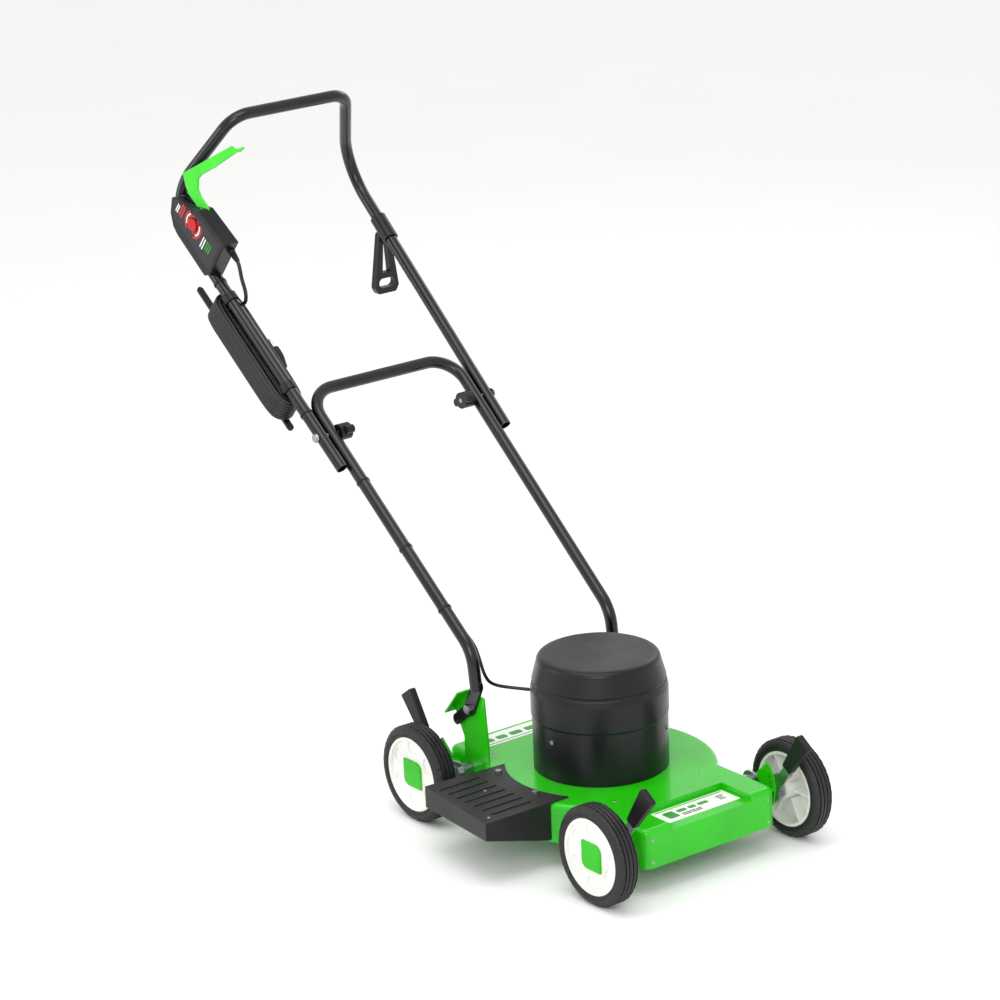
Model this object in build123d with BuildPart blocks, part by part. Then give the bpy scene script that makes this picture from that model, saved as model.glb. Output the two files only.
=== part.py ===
"""Corded electric rotary lawn mower, 350 mm cut: pressed steel deck, four height-adjusted wheels,
a vertical induction motor under a plastic cover, and a two-part tube handle with its mains cord.

Frame: origin on the ground under the blade spindle, +X forward, +Y to the machine's left, +Z up.
"""

from build123d import *
from math import atan2, cos, degrees, pi, radians, sin
import os

os.makedirs("parts", exist_ok=True)

# ---- clearances
running_gap = 0.05        # radial, shaft in its bore
moving_gap = 0.4          # between faces that pass each other
cut_over = 1.0            # how far a cut runs past the face that it opens

# ---- wheels and axles
wheel_diameter = 175.0
wheel_width = 42.0
half_track = 215.0
front_axle_x = 252.0
rear_axle_x = -242.0
axle_height = wheel_diameter / 2
tyre_shoulder = 7.0
rim_diameter = 134.0
rim_wall = 5.0
rim_inset = 3.0           # rim edge behind the tyre's side
web_thickness = 4.0
web_dish = 5.0            # web face behind the rim's edge
web_recess = 2.6          # depth of the six pockets in the web's face
hub_diameter = 34.0
hub_length = 38.0
rim_ribs = 6
rib_thickness = 3.0
axle_diameter = 16.0
cap_square = 48.0
cap_corner = 14.0
cap_thickness = 4.0

# ---- deck
deck_wall = 2.0
deck_top = 118.0
skirt_bottom = 48.0
chamber_radius = 202.0
section_half_width = 145.0
front_face_x = 290.0
rear_face_x = -250.0
outline_corner = 16.0
deck_edge = 10.0
pocket_depth = 11.0
pocket_start_x = 212.0
pocket_half_width = 90.0
baffle_radius = 186.0
discharge_rear_x = -86.0
discharge_front_x = 66.0
discharge_top = 104.0

# ---- motor and blade
cover_radius = 119.5
cover_bottom_radius = 117.5
cover_cap_radius = 116.5
cover_top_radius = 107.0
cover_height = 203.0
cover_band_height = 94.0
cover_groove_height = 155.0
cover_wall = 3.0
cover_gap = 0.5
lead_entry_angle = -148.0  # round the cover, from +X
lead_entry_height = 240.0
lead_entry_radius = 112.0
shaft_diameter = 20.0
base_plate_radius = 92.0
base_plate_thickness = 8.0
stator_diameter = 128.0
stator_height = 62.0
stator_lift = 58.0
rotor_core_diameter = 70.0
air_gap = 0.6
winding_overhang = 20.0
shield_thickness = 10.0
bearing_diameter = 42.0
bearing_width = 12.0
capacitor_x = -89.0
capacitor_diameter = 32.0
fan_diameter = 170.0
fan_blades = 8
fan_height = 22.0
blade_length = 350.0
blade_width = 50.0
blade_thickness = 3.5
blade_height = 66.0       # underside above the ground
blade_bolt_diameter = 10.0

# ---- height adjusters
pivot_inboard = 60.0      # pivot from the axle, towards the machine's middle
pivot_rise = 8.0
arm_thickness = 4.0
arm_plane = 170.0         # arm's inner face from the machine's middle
arm_bar = 32.0
lever_bar = 18.0
lever_reach = 75.0
lever_rise = 106.0
grip_length = 76.0
grip_overrun = 14.0       # of the grip past the bar's end
grip_thickness = 13.0
grip_foot_width = 18.0
grip_top_width = 34.0
pivot_bolt_diameter = 12.0
pivot_shoulder = 20.0
quadrant_outer = 70.0
quadrant_inner = 30.0
quadrant_thickness = 3.0
quadrant_angles = (-24.0, 0.0, 22.0, 42.0)
notch_radius = 3.4
notch_angles = (-17.6, -7.6, 1.9, 11.4, 20.9)

# ---- handle
handle_tube = 22.0
handle_wall = 1.5
leg_angle = 39.5          # from the ground, leaning back
knob_x = -532.5
knob_z = 630.5
lower_leg = 488.0         # knob bolt to the lower bend
lower_top = 95.0          # knob bolt to the crossbar's corner
lower_bend_y = 154.0
lower_knob_y = 160.5
lower_corner_y = 162.0
foot_top_x = -147.0
foot_top_z = 250.0
bracket_bolt_x = -172.0
bracket_bolt_z = 209.0
foot_tab = 47.0
foot_width = 26.0
foot_thickness = 6.0
bracket_thickness = 3.0
bracket_bolt_diameter = 8.0
upper_knob_y = 184.2
upper_tail = 73.0         # knob bolt to the upper tube's lower end
upper_leg = 558.0         # knob bolt to the upper bend
upper_bend_y = 200.0
hoop_x = -842.5
hoop_z = 1152.0
hoop_half_width = 124.0
bend_radius_lower = 70.0
bend_radius_corner = 55.0
bend_radius_upper = 88.0
bend_radius_hoop = 48.0
knob_bolt_diameter = 8.0
knob_span = 46.0
knob_height = 24.0

# ---- switch box, in the bend of the right leg: outlines are along the leg, and proud of it
box_end = 380.0
box_outline = [(391, -8), (box_end, 6), (box_end, 90), (469, 83), (487, 70), (505, 62), (530, 54), (540, 40),
               (528, 12), (508, -4), (490, -8)]
box_outer = 16.0          # the side faces from the leg's axis
box_inner = 17.0
box_edge = 3.0
lead_boss = (22.0, 32.0, 14.0)
button_place = (465, 50)
button_diameter = 24.0
button_height = 9.0
button_travel = 4.0
switch_place = (422, 48)
switch_size = (46.0, 34.0, 20.0)
lever_lean = 21.2         # of the lever's plane, inwards
lever_out = -7.0          # the lever's plane where it is lever_datum proud of the leg
lever_datum = 80.0
lever_thickness = 5.0
lever_pivot = (474, -7)
lever_pin_diameter = 6.0
lever_pin_length = 18.0
lever_root_radius = 11.0
lever_outline = [(474, -18), (497, -13), (518, -14), (535, -10), (558, 0), (518, 116), (510, 117),
                 (503, 125), (499, 134), (496, 133), (498, 122), (503, 114), (516, 62), (527, 30), (527, 20), (514, 8),
                 (500, 4), (474, 4)]
slot_outline = [(474, 8), (562, 8), (562, -44), (525, -41), (508, -37), (490, -26), (474, -22)]

# ---- cord, cord holder and cord guide
cord_diameter = 7.0
lead_diameter = 6.0
lead_channel_width = 10.4  # where the horns' collars pass over the lead
hank_length = 270.0
hank_start = 85.0         # along the leg from the knob bolt
hank_width = 60.0
hank_depth = 50.0
hank_offset = 14.5        # nearest face of the hank behind the tube's axis
hank_shift = 5.0          # of its middle inwards from the tube's axis
post_diameter = 12.0
post_gap = 1.0
holder_bar = 5.0
holder_start = 74.0
holder_end = 401.0
plug_length = 44.0
plug_width = 26.0
plug_thickness = 20.0
pin_spacing = 19.0
pin_diameter = 4.8
pin_length = 19.0
guide_station = 400.0

# ---- worked-out places
leg_cos = cos(radians(leg_angle))
leg_sin = sin(radians(leg_angle))
blade_top = blade_height + blade_thickness
cover_bottom = deck_top + cover_gap
stator_bottom = deck_top + stator_lift
lead_entry = Vector(1, 0, 0).rotate(Axis.Z, lead_entry_angle)
wheel_inner = half_track - wheel_width / 2
wheel_outer = half_track + wheel_width / 2
corners = {"front": (front_axle_x, 1), "rear": (rear_axle_x, -1)}


def save(piece, name):
    """Label the piece and write its file."""
    piece.part.label = name
    export_step(piece.part, f"parts/{name}.step")


def twin(piece):
    """The same piece on the machine's left side."""
    with BuildPart() as left:
        mirror(piece.part, about=Plane.XZ)
    return left


def pair(piece):
    """Both sides' pieces in one node."""
    with BuildPart() as both:
        add(piece.part)
        mirror(piece.part, about=Plane.XZ)
    return both


def leg_point(station, y, rise=0.0):
    """A point on the handle's leaning plane, from the knob bolt along the leg and proud of it."""
    x = knob_x - station * leg_cos + rise * leg_sin
    z = knob_z + station * leg_sin + rise * leg_cos
    return (x, y, z)


def swept_tube(points, radii, outer, wall=0.0):
    """A round bar or tube along straight runs joined by arcs."""
    with BuildPart() as piece:
        with BuildLine() as route:
            FilletPolyline(*points, radius=radii)
        with BuildSketch(Plane(origin=route.line @ 0, z_dir=route.line % 0)):
            Circle(outer / 2)
            if wall:
                Circle(outer / 2 - wall, mode=Mode.SUBTRACT)
        sweep()
    return piece


def bar_between(start, end, width):
    """Sketch a round-ended bar between two points of the sketch plane."""
    middle = (Vector(*start) + Vector(*end)) * 0.5
    span = Vector(*end) - Vector(*start)
    with Locations(middle):
        SlotCenterToCenter(span.length, width, rotation=degrees(atan2(span.Y, span.X)))


def side_plane(distance):
    """An upright plane across Y on the right side, facing outwards, seen with +X to the right."""
    return Plane.XZ.offset(distance)


# ---------------------------------------------------------------- deck

def deck_form(inset):
    """The pressed deck's outside, or its inside when inset by the sheet's thickness."""
    top = deck_top - inset
    bottom = skirt_bottom - (cut_over if inset else 0)
    with BuildPart() as form:
        with BuildSketch(Plane.XY.offset(bottom)) as outline:
            Circle(chamber_radius)
            with Locations(((front_face_x + rear_face_x) / 2, 0)):
                Rectangle(front_face_x - rear_face_x, 2 * section_half_width)
            fillet(outline.vertices(), outline_corner)
            if inset:
                offset(amount=-inset, mode=Mode.REPLACE)
        extrude(amount=top - bottom)
        fillet(form.edges().group_by(Axis.Z)[-1], deck_edge - inset)
        with BuildSketch(Plane.XY.offset(top)):
            with Locations(((pocket_start_x - inset + front_face_x + cut_over) / 2, 0)):
                Rectangle(front_face_x + cut_over - pocket_start_x + inset, 2 * (pocket_half_width + inset))
        extrude(amount=-pocket_depth, mode=Mode.SUBTRACT)
    return form


def pivot_place(axle_x, end):
    """Where the height arm turns: inboard of the axle and a little above it."""
    return (axle_x - end * pivot_inboard, axle_height + pivot_rise)


outer_form = deck_form(0)
inner_form = deck_form(deck_wall)

with BuildPart() as deck_shell:
    add(outer_form.part)
    add(inner_form.part, mode=Mode.SUBTRACT)
    with BuildSketch(Plane.XY.offset(deck_top)):
        Circle(shaft_diameter)
    extrude(amount=-2 * deck_wall, mode=Mode.SUBTRACT)
    with BuildSketch(Plane.XY.offset(skirt_bottom - cut_over)):
        with Locations(((discharge_rear_x + discharge_front_x) / 2, -chamber_radius)):
            Rectangle(discharge_front_x - discharge_rear_x, chamber_radius / 2)
    extrude(amount=discharge_top - skirt_bottom + cut_over, mode=Mode.SUBTRACT)
    for axle_x, end in corners.values():
        with BuildSketch(Plane.XZ.offset(section_half_width + cut_over)):
            with Locations(pivot_place(axle_x, end)):
                Circle(pivot_bolt_diameter / 2 + running_gap)
        extrude(amount=-2 * (section_half_width + cut_over), mode=Mode.SUBTRACT)
save(deck_shell, "deck_shell")

# curved baffles close the front and rear boxes off from the blade chamber
with BuildPart() as chamber_baffles:
    with BuildSketch(Plane.XY.offset(skirt_bottom)):
        Circle(baffle_radius)
        Circle(baffle_radius - deck_wall, mode=Mode.SUBTRACT)
        Rectangle(2 * chamber_radius * cos(radians(48)), 2 * chamber_radius, mode=Mode.SUBTRACT)
    extrude(amount=deck_top - deck_wall - skirt_bottom)
save(chamber_baffles, "chamber_baffles")

# ---- handle brackets: an upright plate each side, with a bent stop flange behind the tube's foot
bracket_outer = section_half_width + bracket_thickness
flange_low = (bracket_bolt_x - 46, bracket_bolt_z - 16)
flange_high = (bracket_bolt_x - 8, bracket_bolt_z + 30)
with BuildPart() as bracket:
    with BuildSketch(side_plane(section_half_width)) as plate:
        with BuildLine():
            Polyline((-196, 66), (-128, 66), (-128, 150), (-136, 236), flange_high, flange_low, (-196, 150),
                     close=True)
        make_face()
        with Locations((bracket_bolt_x, bracket_bolt_z)):
            Circle(bracket_bolt_diameter / 2 + running_gap, mode=Mode.SUBTRACT)
    extrude(amount=bracket_thickness)
    with BuildSketch(side_plane(section_half_width)) as flange:
        lift = Vector(flange_low[1] - flange_high[1], flange_high[0] - flange_low[0]).normalized()
        lift = lift * bracket_thickness
        with BuildLine():
            Polyline(flange_low, flange_high, (flange_high[0] + lift.X, flange_high[1] + lift.Y),
                     (flange_low[0] + lift.X, flange_low[1] + lift.Y), close=True)
        make_face()
    extrude(amount=26)
    with BuildSketch(side_plane(section_half_width)):
        with Locations(pivot_place(rear_axle_x, -1)):
            Circle(pivot_shoulder / 2 + moving_gap)
    extrude(amount=bracket_thickness, mode=Mode.SUBTRACT)
    add(outer_form.part, mode=Mode.SUBTRACT)
save(pair(bracket), "handle_brackets")

def quadrant_spot(axle_x, end, radius, angle):
    """A point round a height arm's pivot, by its angle above the outward direction."""
    pivot_x, pivot_z = pivot_place(axle_x, end)
    return (pivot_x + end * radius * cos(radians(angle)), pivot_z + radius * sin(radians(angle)))


# ---- quadrants with a row of notch holes that the height arms pass, one by each wheel
with BuildPart() as quadrants:
    for axle_x, end in corners.values():
        pivot_x, pivot_z = pivot_place(axle_x, end)
        with BuildSketch(side_plane(arm_plane - moving_gap - quadrant_thickness)):
            with Locations((pivot_x, pivot_z)):
                Circle(quadrant_outer)
                Circle(quadrant_inner, mode=Mode.SUBTRACT)
            Polygon((pivot_x, pivot_z), *[quadrant_spot(axle_x, end, 2 * quadrant_outer, angle)
                                          for angle in quadrant_angles], align=None, mode=Mode.INTERSECT)
            with Locations(*[quadrant_spot(axle_x, end, pivot_inboard, angle) for angle in notch_angles]):
                Circle(notch_radius, mode=Mode.SUBTRACT)
        extrude(amount=quadrant_thickness)
        foot_reach = arm_plane - moving_gap - section_half_width
        with BuildSketch(side_plane(section_half_width)):
            foot_x = pivot_x + end * (quadrant_inner + quadrant_outer) / 2
            with Locations((foot_x, pivot_z + quadrant_thickness / 2)):
                Rectangle(quadrant_outer - quadrant_inner, quadrant_thickness)
        extrude(amount=foot_reach)
save(pair(quadrants), "notch_quadrants")

# ---- shouldered bolts that the height arms turn on
with BuildPart() as pivot_bolts:
    for axle_x, end in corners.values():
        with BuildSketch(side_plane(section_half_width - deck_wall - 6)):
            with Locations(pivot_place(axle_x, end)):
                RegularPolygon(10, 6)
        extrude(amount=6)
        with BuildSketch(side_plane(section_half_width - deck_wall)):
            with Locations(pivot_place(axle_x, end)):
                Circle(pivot_bolt_diameter / 2)
        extrude(amount=arm_plane + arm_thickness + moving_gap - section_half_width + deck_wall)
        with BuildSketch(side_plane(section_half_width)):
            with Locations(pivot_place(axle_x, end)):
                Circle(pivot_shoulder / 2)
        extrude(amount=arm_plane - moving_gap - section_half_width)
        with BuildSketch(side_plane(arm_plane + arm_thickness + moving_gap)):
            with Locations(pivot_place(axle_x, end)):
                RegularPolygon(11, 6)
        extrude(amount=7)
save(pair(pivot_bolts), "arm_pivot_bolts")

# ---------------------------------------------------------------- discharge chute
chute_wall = 3.0
chute_top = deck_top + chute_wall
chute_low = 53.0
chute_outer_low = 90.0
chute_front_x = 87.0
chute_outer_y = -322.0
chute_slope_y = -190.0    # where the side walls' lower edge starts to rise
chute_flange_radius = 168.0
chute_outline = [(-104, -130), (chute_front_x, -130), (chute_front_x, chute_outer_y), (-116, -296)]
chute_bolt_places = [(-78, -166), (40, -179)]
chute_bolt_diameter = 6.0
chute_rib_places = (-84, -60, -36, -12, 12, 36, 60)
chute_rib_y = -246.0
chute_rib_width = 2.4
chute_rib_length = 84.0
chute_rib_height = 1.6

with BuildPart() as discharge_chute:
    with BuildSketch(Plane.XY.offset(chute_low)) as chute_plan:
        Polygon(*chute_outline, align=None)
    extrude(amount=chute_top - chute_low)
    with BuildSketch(Plane.XY.offset(chute_low)):
        Polygon(*chute_outline, align=None)
        offset(amount=-chute_wall, kind=Kind.INTERSECTION, mode=Mode.REPLACE)
    extrude(amount=deck_top - chute_low, mode=Mode.SUBTRACT)
    with BuildSketch(Plane.XY.offset(chute_low)):
        Circle(chamber_radius + moving_gap)
        with Locations((0, 0)):
            Rectangle(2 * chamber_radius, 2 * 170)
    extrude(amount=deck_top - chute_low, mode=Mode.SUBTRACT)
    with BuildSketch(Plane.XY.offset(deck_top)):
        Circle(chute_flange_radius)
    extrude(amount=chute_wall, mode=Mode.SUBTRACT)
    with BuildSketch(Plane.YZ.offset(chute_outline[3][0] - cut_over)):
        with BuildLine():
            Polyline((chute_slope_y, chute_low), (chute_outer_y, chute_outer_low),
                     (chute_outer_y, chute_low), close=True)
        make_face()
    extrude(amount=chute_front_x - chute_outline[3][0] + 2 * cut_over, mode=Mode.SUBTRACT)
    with BuildSketch(Plane.XY.offset(deck_top - cut_over)):
        with Locations(*chute_bolt_places):
            Circle(chute_bolt_diameter / 2 + running_gap)
    extrude(amount=chute_wall + 2 * cut_over, mode=Mode.SUBTRACT)
    with BuildSketch(Plane.XY.offset(chute_top)):
        with Locations(*[(x, chute_rib_y) for x in chute_rib_places]):
            Rectangle(chute_rib_width, chute_rib_length)
    extrude(amount=chute_rib_height)
save(discharge_chute, "discharge_chute")

with BuildPart() as chute_bolts:
    with BuildSketch(Plane.XY.offset(chute_top)):
        with Locations(*chute_bolt_places):
            RegularPolygon(6, 6)
    extrude(amount=5)
    with BuildSketch(Plane.XY.offset(deck_top)):
        with Locations(*chute_bolt_places):
            Circle(chute_bolt_diameter / 2)
    extrude(amount=chute_wall)
save(chute_bolts, "chute_bolts")

# ---------------------------------------------------------------- motor
def cover_profile(inset):
    """Half section of the motor cover, from its axis out."""
    skirt = cover_bottom_radius - inset
    band = cover_radius - inset
    cap = cover_cap_radius - inset
    crown = cover_top_radius - inset
    low = cover_bottom - (cut_over if inset else 0)
    top = cover_bottom + cover_height - inset
    band_z = cover_bottom + cover_band_height
    groove_z = cover_bottom + cover_groove_height
    with BuildLine() as profile:
        Polyline((0, low), (skirt, low), (skirt + 0.5, band_z), (band, band_z + 4), (band, groove_z - 12),
                 (cap + 0.6, groove_z - 2), (cap - 1.6, groove_z), (cap - 1.6, groove_z + 3),
                 (cap, groove_z + 5),
                 (crown + 1, top - 12))
        Spline((crown + 1, top - 12), (crown - 3, top - 3), (crown - 14, top),
               tangents=((-0.12, 1), (-1, 0)))
        Polyline((crown - 14, top), (0, top), (0, low))
    return profile


with BuildPart() as motor_cover:
    with BuildSketch(Plane.XZ):
        add(cover_profile(0).line)
        make_face()
    revolve(axis=Axis.Z)
    with BuildSketch(Plane.XZ):
        add(cover_profile(cover_wall).line)
        make_face()
    revolve(axis=Axis.Z, mode=Mode.SUBTRACT)
    with BuildSketch(Plane((0, 0, lead_entry_height), z_dir=lead_entry)):
        Circle(lead_diameter / 2)
    extrude(amount=cover_radius + cut_over, mode=Mode.SUBTRACT)
save(motor_cover, "motor_cover")

screw_height = cover_bottom + 72.0
with BuildPart() as cover_screws:
    for index in range(3):
        facing = Vector(1, 0, 0).rotate(Axis.Z, 120 * index - 83)
        spot = Plane((0, 0, screw_height), x_dir=(0, 0, 1), z_dir=facing)
        with BuildSketch(spot.offset(cover_bottom_radius + 0.5)):
            Circle(4)
        extrude(amount=2.5)
save(cover_screws, "cover_screws")

with BuildPart() as motor_base:
    with BuildSketch(Plane.XY.offset(deck_top)):
        Circle(base_plate_radius)
        Circle(bearing_diameter / 2, mode=Mode.SUBTRACT)
    extrude(amount=base_plate_thickness)
    with BuildSketch(Plane.XY.offset(deck_top)):
        Circle(stator_diameter / 2 + 6)
        Circle(stator_diameter / 2, mode=Mode.SUBTRACT)
    extrude(amount=stator_lift + 12)
    with BuildSketch(Plane.XY.offset(deck_top)):
        Circle(bearing_diameter / 2 + 6)
        Circle(bearing_diameter / 2, mode=Mode.SUBTRACT)
    extrude(amount=base_plate_thickness + bearing_width)
save(motor_base, "motor_base_shield")

shield_bottom = stator_bottom + stator_height
with BuildPart() as top_shield:
    with BuildSketch(Plane.XY.offset(shield_bottom - 10)):
        Circle(stator_diameter / 2 + 6)
        Circle(stator_diameter / 2, mode=Mode.SUBTRACT)
    extrude(amount=winding_overhang + 14)
    with BuildSketch(Plane.XY.offset(shield_bottom + winding_overhang + 4)):
        Circle(stator_diameter / 2 + 6)
        Circle(bearing_diameter / 2, mode=Mode.SUBTRACT)
    extrude(amount=bearing_width)
save(top_shield, "motor_top_shield")
bearing_levels = (deck_top + base_plate_thickness, shield_bottom + winding_overhang + 4)

with BuildPart() as stator_core:
    with BuildSketch(Plane.XY.offset(stator_bottom)):
        Circle(stator_diameter / 2)
        Circle(rotor_core_diameter / 2 + air_gap, mode=Mode.SUBTRACT)
    extrude(amount=stator_height)
save(stator_core, "stator_core")

with BuildPart() as windings:
    for level in (stator_bottom - winding_overhang, stator_bottom + stator_height):
        with BuildSketch(Plane.XY.offset(level)):
            Circle(stator_diameter / 2 - 6)
            Circle(rotor_core_diameter / 2 + 6, mode=Mode.SUBTRACT)
        extrude(amount=winding_overhang)
save(windings, "stator_windings")

with BuildPart() as bearings:
    for level in bearing_levels:
        with BuildSketch(Plane.XY.offset(level)):
            Circle(bearing_diameter / 2)
            Circle(shaft_diameter / 2 + running_gap, mode=Mode.SUBTRACT)
        extrude(amount=bearing_width)
save(bearings, "shaft_bearings")

with BuildPart() as capacitor:
    with BuildSketch(Plane.XY.offset(deck_top + base_plate_thickness)):
        with Locations((capacitor_x, 0)):
            Circle(capacitor_diameter / 2)
    extrude(amount=70)
    fillet(capacitor.edges().group_by(Axis.Z)[-1], 3)
save(capacitor, "run_capacitor")

# ---- rotor: everything that turns with the shaft
adapter_top = deck_top - deck_wall - 12
shaft_top = bearing_levels[1] + bearing_width + fan_height + 6
with BuildPart() as rotor_shaft:
    with BuildSketch(Plane.XY.offset(blade_top)):
        Circle(shaft_diameter / 2)
    extrude(amount=shaft_top - blade_top)
    with BuildSketch(Plane.XY.offset(blade_top)):
        Circle(blade_bolt_diameter / 2)
    extrude(amount=26, mode=Mode.SUBTRACT)
save(rotor_shaft, "rotor_shaft")

with BuildPart() as rotor_core:
    with BuildSketch(Plane.XY.offset(stator_bottom)):
        Circle(rotor_core_diameter / 2)
        Circle(shaft_diameter / 2, mode=Mode.SUBTRACT)
    extrude(amount=stator_height)
save(rotor_core, "rotor_core")

fan_bottom = bearing_levels[1] + bearing_width + 2
with BuildPart() as cooling_fan:
    with BuildSketch(Plane.XY.offset(fan_bottom)):
        Circle(fan_diameter / 2)
        Circle(shaft_diameter / 2, mode=Mode.SUBTRACT)
    extrude(amount=2.5)
    with BuildSketch(Plane.XY.offset(fan_bottom)):
        Circle(shaft_diameter / 2 + 8)
        Circle(shaft_diameter / 2, mode=Mode.SUBTRACT)
    extrude(amount=fan_height)
    with BuildSketch(Plane.XY.offset(fan_bottom)):
        with PolarLocations((fan_diameter + shaft_diameter) / 4 + 6, fan_blades):
            Rectangle(fan_diameter / 2 - 30, 2.5)
    extrude(amount=fan_height)
save(cooling_fan, "cooling_fan")

with BuildPart() as blade_adapter:
    with BuildSketch(Plane.XY.offset(blade_top)):
        Circle(30)
        Circle(shaft_diameter / 2, mode=Mode.SUBTRACT)
    extrude(amount=8)
    with BuildSketch(Plane.XY.offset(blade_top)):
        Circle(17)
        Circle(shaft_diameter / 2, mode=Mode.SUBTRACT)
    extrude(amount=adapter_top - blade_top)
save(blade_adapter, "blade_adapter")

with BuildPart() as blade:
    with BuildSketch(Plane.XY.offset(blade_height)) as blade_plan:
        Rectangle(blade_length, blade_width)
        chamfer(blade_plan.vertices(), 9)
        Circle(blade_bolt_diameter / 2, mode=Mode.SUBTRACT)
    extrude(amount=blade_thickness)
    for side in (1, -1):
        sail = Plane((side * (blade_length / 2 - 42), -side * (blade_width / 2 - 2), blade_top),
                     x_dir=(side, 0, 0), z_dir=Vector(0, -side * 0.6, 1))
        with BuildSketch(sail.offset(-blade_thickness / 2)):
            with Locations((0, 3)):
                Rectangle(64, 24)
        extrude(amount=blade_thickness)
save(blade, "cutting_blade")

with BuildPart() as blade_bolt:
    with BuildSketch(Plane.XY.offset(blade_height)):
        RegularPolygon(10, 6)
    extrude(amount=-8)
    with BuildSketch(Plane.XY.offset(blade_height)):
        Circle(blade_bolt_diameter / 2)
    extrude(amount=blade_thickness + 24)
save(blade_bolt, "blade_bolt")

# ---------------------------------------------------------------- wheels and height arms
def wheel_plane(axle_x):
    """Radius along X and axial distance outwards along -Y, at a right-hand wheel's centre."""
    return Plane((axle_x, -half_track, axle_height), x_dir=(1, 0, 0), z_dir=(0, 0, -1))


def wheel_axis(axle_x):
    return Axis((axle_x, -half_track, axle_height), (0, 1, 0))


def face_plane(axle_x, outward):
    """A plane across the wheel's axle, facing outwards."""
    return Plane((axle_x, -half_track - outward, axle_height), x_dir=(1, 0, 0), z_dir=(0, -1, 0))


rim_edge = wheel_width / 2 - rim_inset
web_face = rim_edge - web_dish
hub_inner = web_face - hub_length

for place, (axle_x, end) in corners.items():
    with BuildPart() as tyre:
        with BuildSketch(wheel_plane(axle_x)) as tyre_section:
            with Locations(((wheel_diameter + rim_diameter) / 4, 0)):
                Rectangle((wheel_diameter - rim_diameter) / 2, wheel_width)
            fillet(tyre_section.vertices().group_by(Axis.X)[-1], tyre_shoulder)
            fillet(tyre_section.vertices().group_by(Axis.X)[0], rim_inset)
        revolve(axis=wheel_axis(axle_x))
    save(tyre, f"tyre_{place}_right")
    save(twin(tyre), f"tyre_{place}_left")

    with BuildPart() as rim:
        with BuildSketch(face_plane(axle_x, -rim_edge)):
            Circle(rim_diameter / 2)
            Circle(rim_diameter / 2 - rim_wall, mode=Mode.SUBTRACT)
        extrude(amount=2 * rim_edge)
        with BuildSketch(face_plane(axle_x, web_face - web_thickness)):
            Circle(rim_diameter / 2 - rim_wall / 2)
        extrude(amount=web_thickness)
        with BuildSketch(face_plane(axle_x, hub_inner)):
            Circle(hub_diameter / 2)
        extrude(amount=hub_length)
        with BuildSketch(face_plane(axle_x, -rim_edge + 6)):
            with PolarLocations((rim_diameter + hub_diameter) / 4, rim_ribs):
                Rectangle((rim_diameter - hub_diameter) / 2 - rim_wall, rib_thickness)
        extrude(amount=web_face + rim_edge - 6)
        with BuildSketch(face_plane(axle_x, web_face)):
            with PolarLocations((rim_diameter + cap_square) / 4 + 2, rim_ribs, start_angle=30):
                SlotOverall(30, 20, rotation=90)
        extrude(amount=-web_recess, mode=Mode.SUBTRACT)
        with BuildSketch(face_plane(axle_x, hub_inner - cut_over)):
            Circle(axle_diameter / 2 + running_gap)
        extrude(amount=hub_length + 2 * cut_over, mode=Mode.SUBTRACT)
    save(rim, f"rim_{place}_right")
    save(twin(rim), f"rim_{place}_left")

    with BuildPart() as cap:
        with BuildSketch(face_plane(axle_x, web_face)) as cap_plan:
            Rectangle(cap_square, cap_square)
            fillet(cap_plan.vertices().filter_by(lambda v: v.X * v.Y > 0), cap_corner)
        extrude(amount=cap_thickness)
        fillet(cap.edges().filter_by(Plane.XZ).group_by(Axis.Y)[0], 1)
    save(cap, f"hub_cap_{place}_right")
    save(twin(cap), f"hub_cap_{place}_left")

    pivot = pivot_place(axle_x, end)
    arm_tip = (axle_x + end * lever_reach, axle_height + lever_rise)
    arm_root = (axle_x + end * lever_reach * 0.25, axle_height + lever_rise * 0.25)
    with BuildPart() as arm:
        with BuildSketch(side_plane(arm_plane)):
            bar_between(pivot, (axle_x, axle_height), arm_bar)
            bar_between((axle_x, axle_height), arm_tip, lever_bar)
            with BuildLine():
                Polyline(pivot, (axle_x, axle_height), (arm_root[0], arm_root[1] + arm_bar / 2), close=True)
            make_face()
            with Locations(pivot):
                Circle(pivot_bolt_diameter / 2 + running_gap, mode=Mode.SUBTRACT)
        extrude(amount=arm_thickness)
        with BuildSketch(side_plane(arm_plane)):
            with Locations((axle_x, axle_height)):
                Circle(axle_diameter / 2)
        extrude(amount=half_track + web_face - arm_plane - moving_gap)
        with BuildSketch(side_plane(arm_plane + arm_thickness)):
            with Locations((axle_x, axle_height)):
                Circle(axle_diameter / 2 + 4)
        extrude(amount=half_track + hub_inner - moving_gap - arm_plane - arm_thickness)
    save(arm, f"height_arm_{place}_right")
    save(twin(arm), f"height_arm_{place}_left")

    lean = Vector(end * lever_reach, lever_rise).normalized()
    across = Vector(lean.Y, -lean.X)
    tip = Vector(*arm_tip) + lean * grip_overrun
    root = tip - lean * grip_length
    with BuildPart() as grip:
        with BuildSketch(side_plane(arm_plane + arm_thickness / 2 - grip_thickness / 2)) as grip_plan:
            with BuildLine():
                Polyline(*[(p.X, p.Y) for p in (
                    root + across * (grip_foot_width / 2 + 2), tip + across * (grip_top_width / 2),
                    tip - across * (grip_top_width / 2),
                    root - across * (grip_foot_width / 2 + 2))], close=True)
            make_face()
            fillet(grip_plan.vertices(), 4)
        extrude(amount=grip_thickness)
        fillet(grip.edges().group_by(Axis.Y)[-1] + grip.edges().group_by(Axis.Y)[0], 2)
        add(arm.part, mode=Mode.SUBTRACT)
    save(grip, f"lever_grip_{place}_right")
    save(twin(grip), f"lever_grip_{place}_left")

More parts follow.
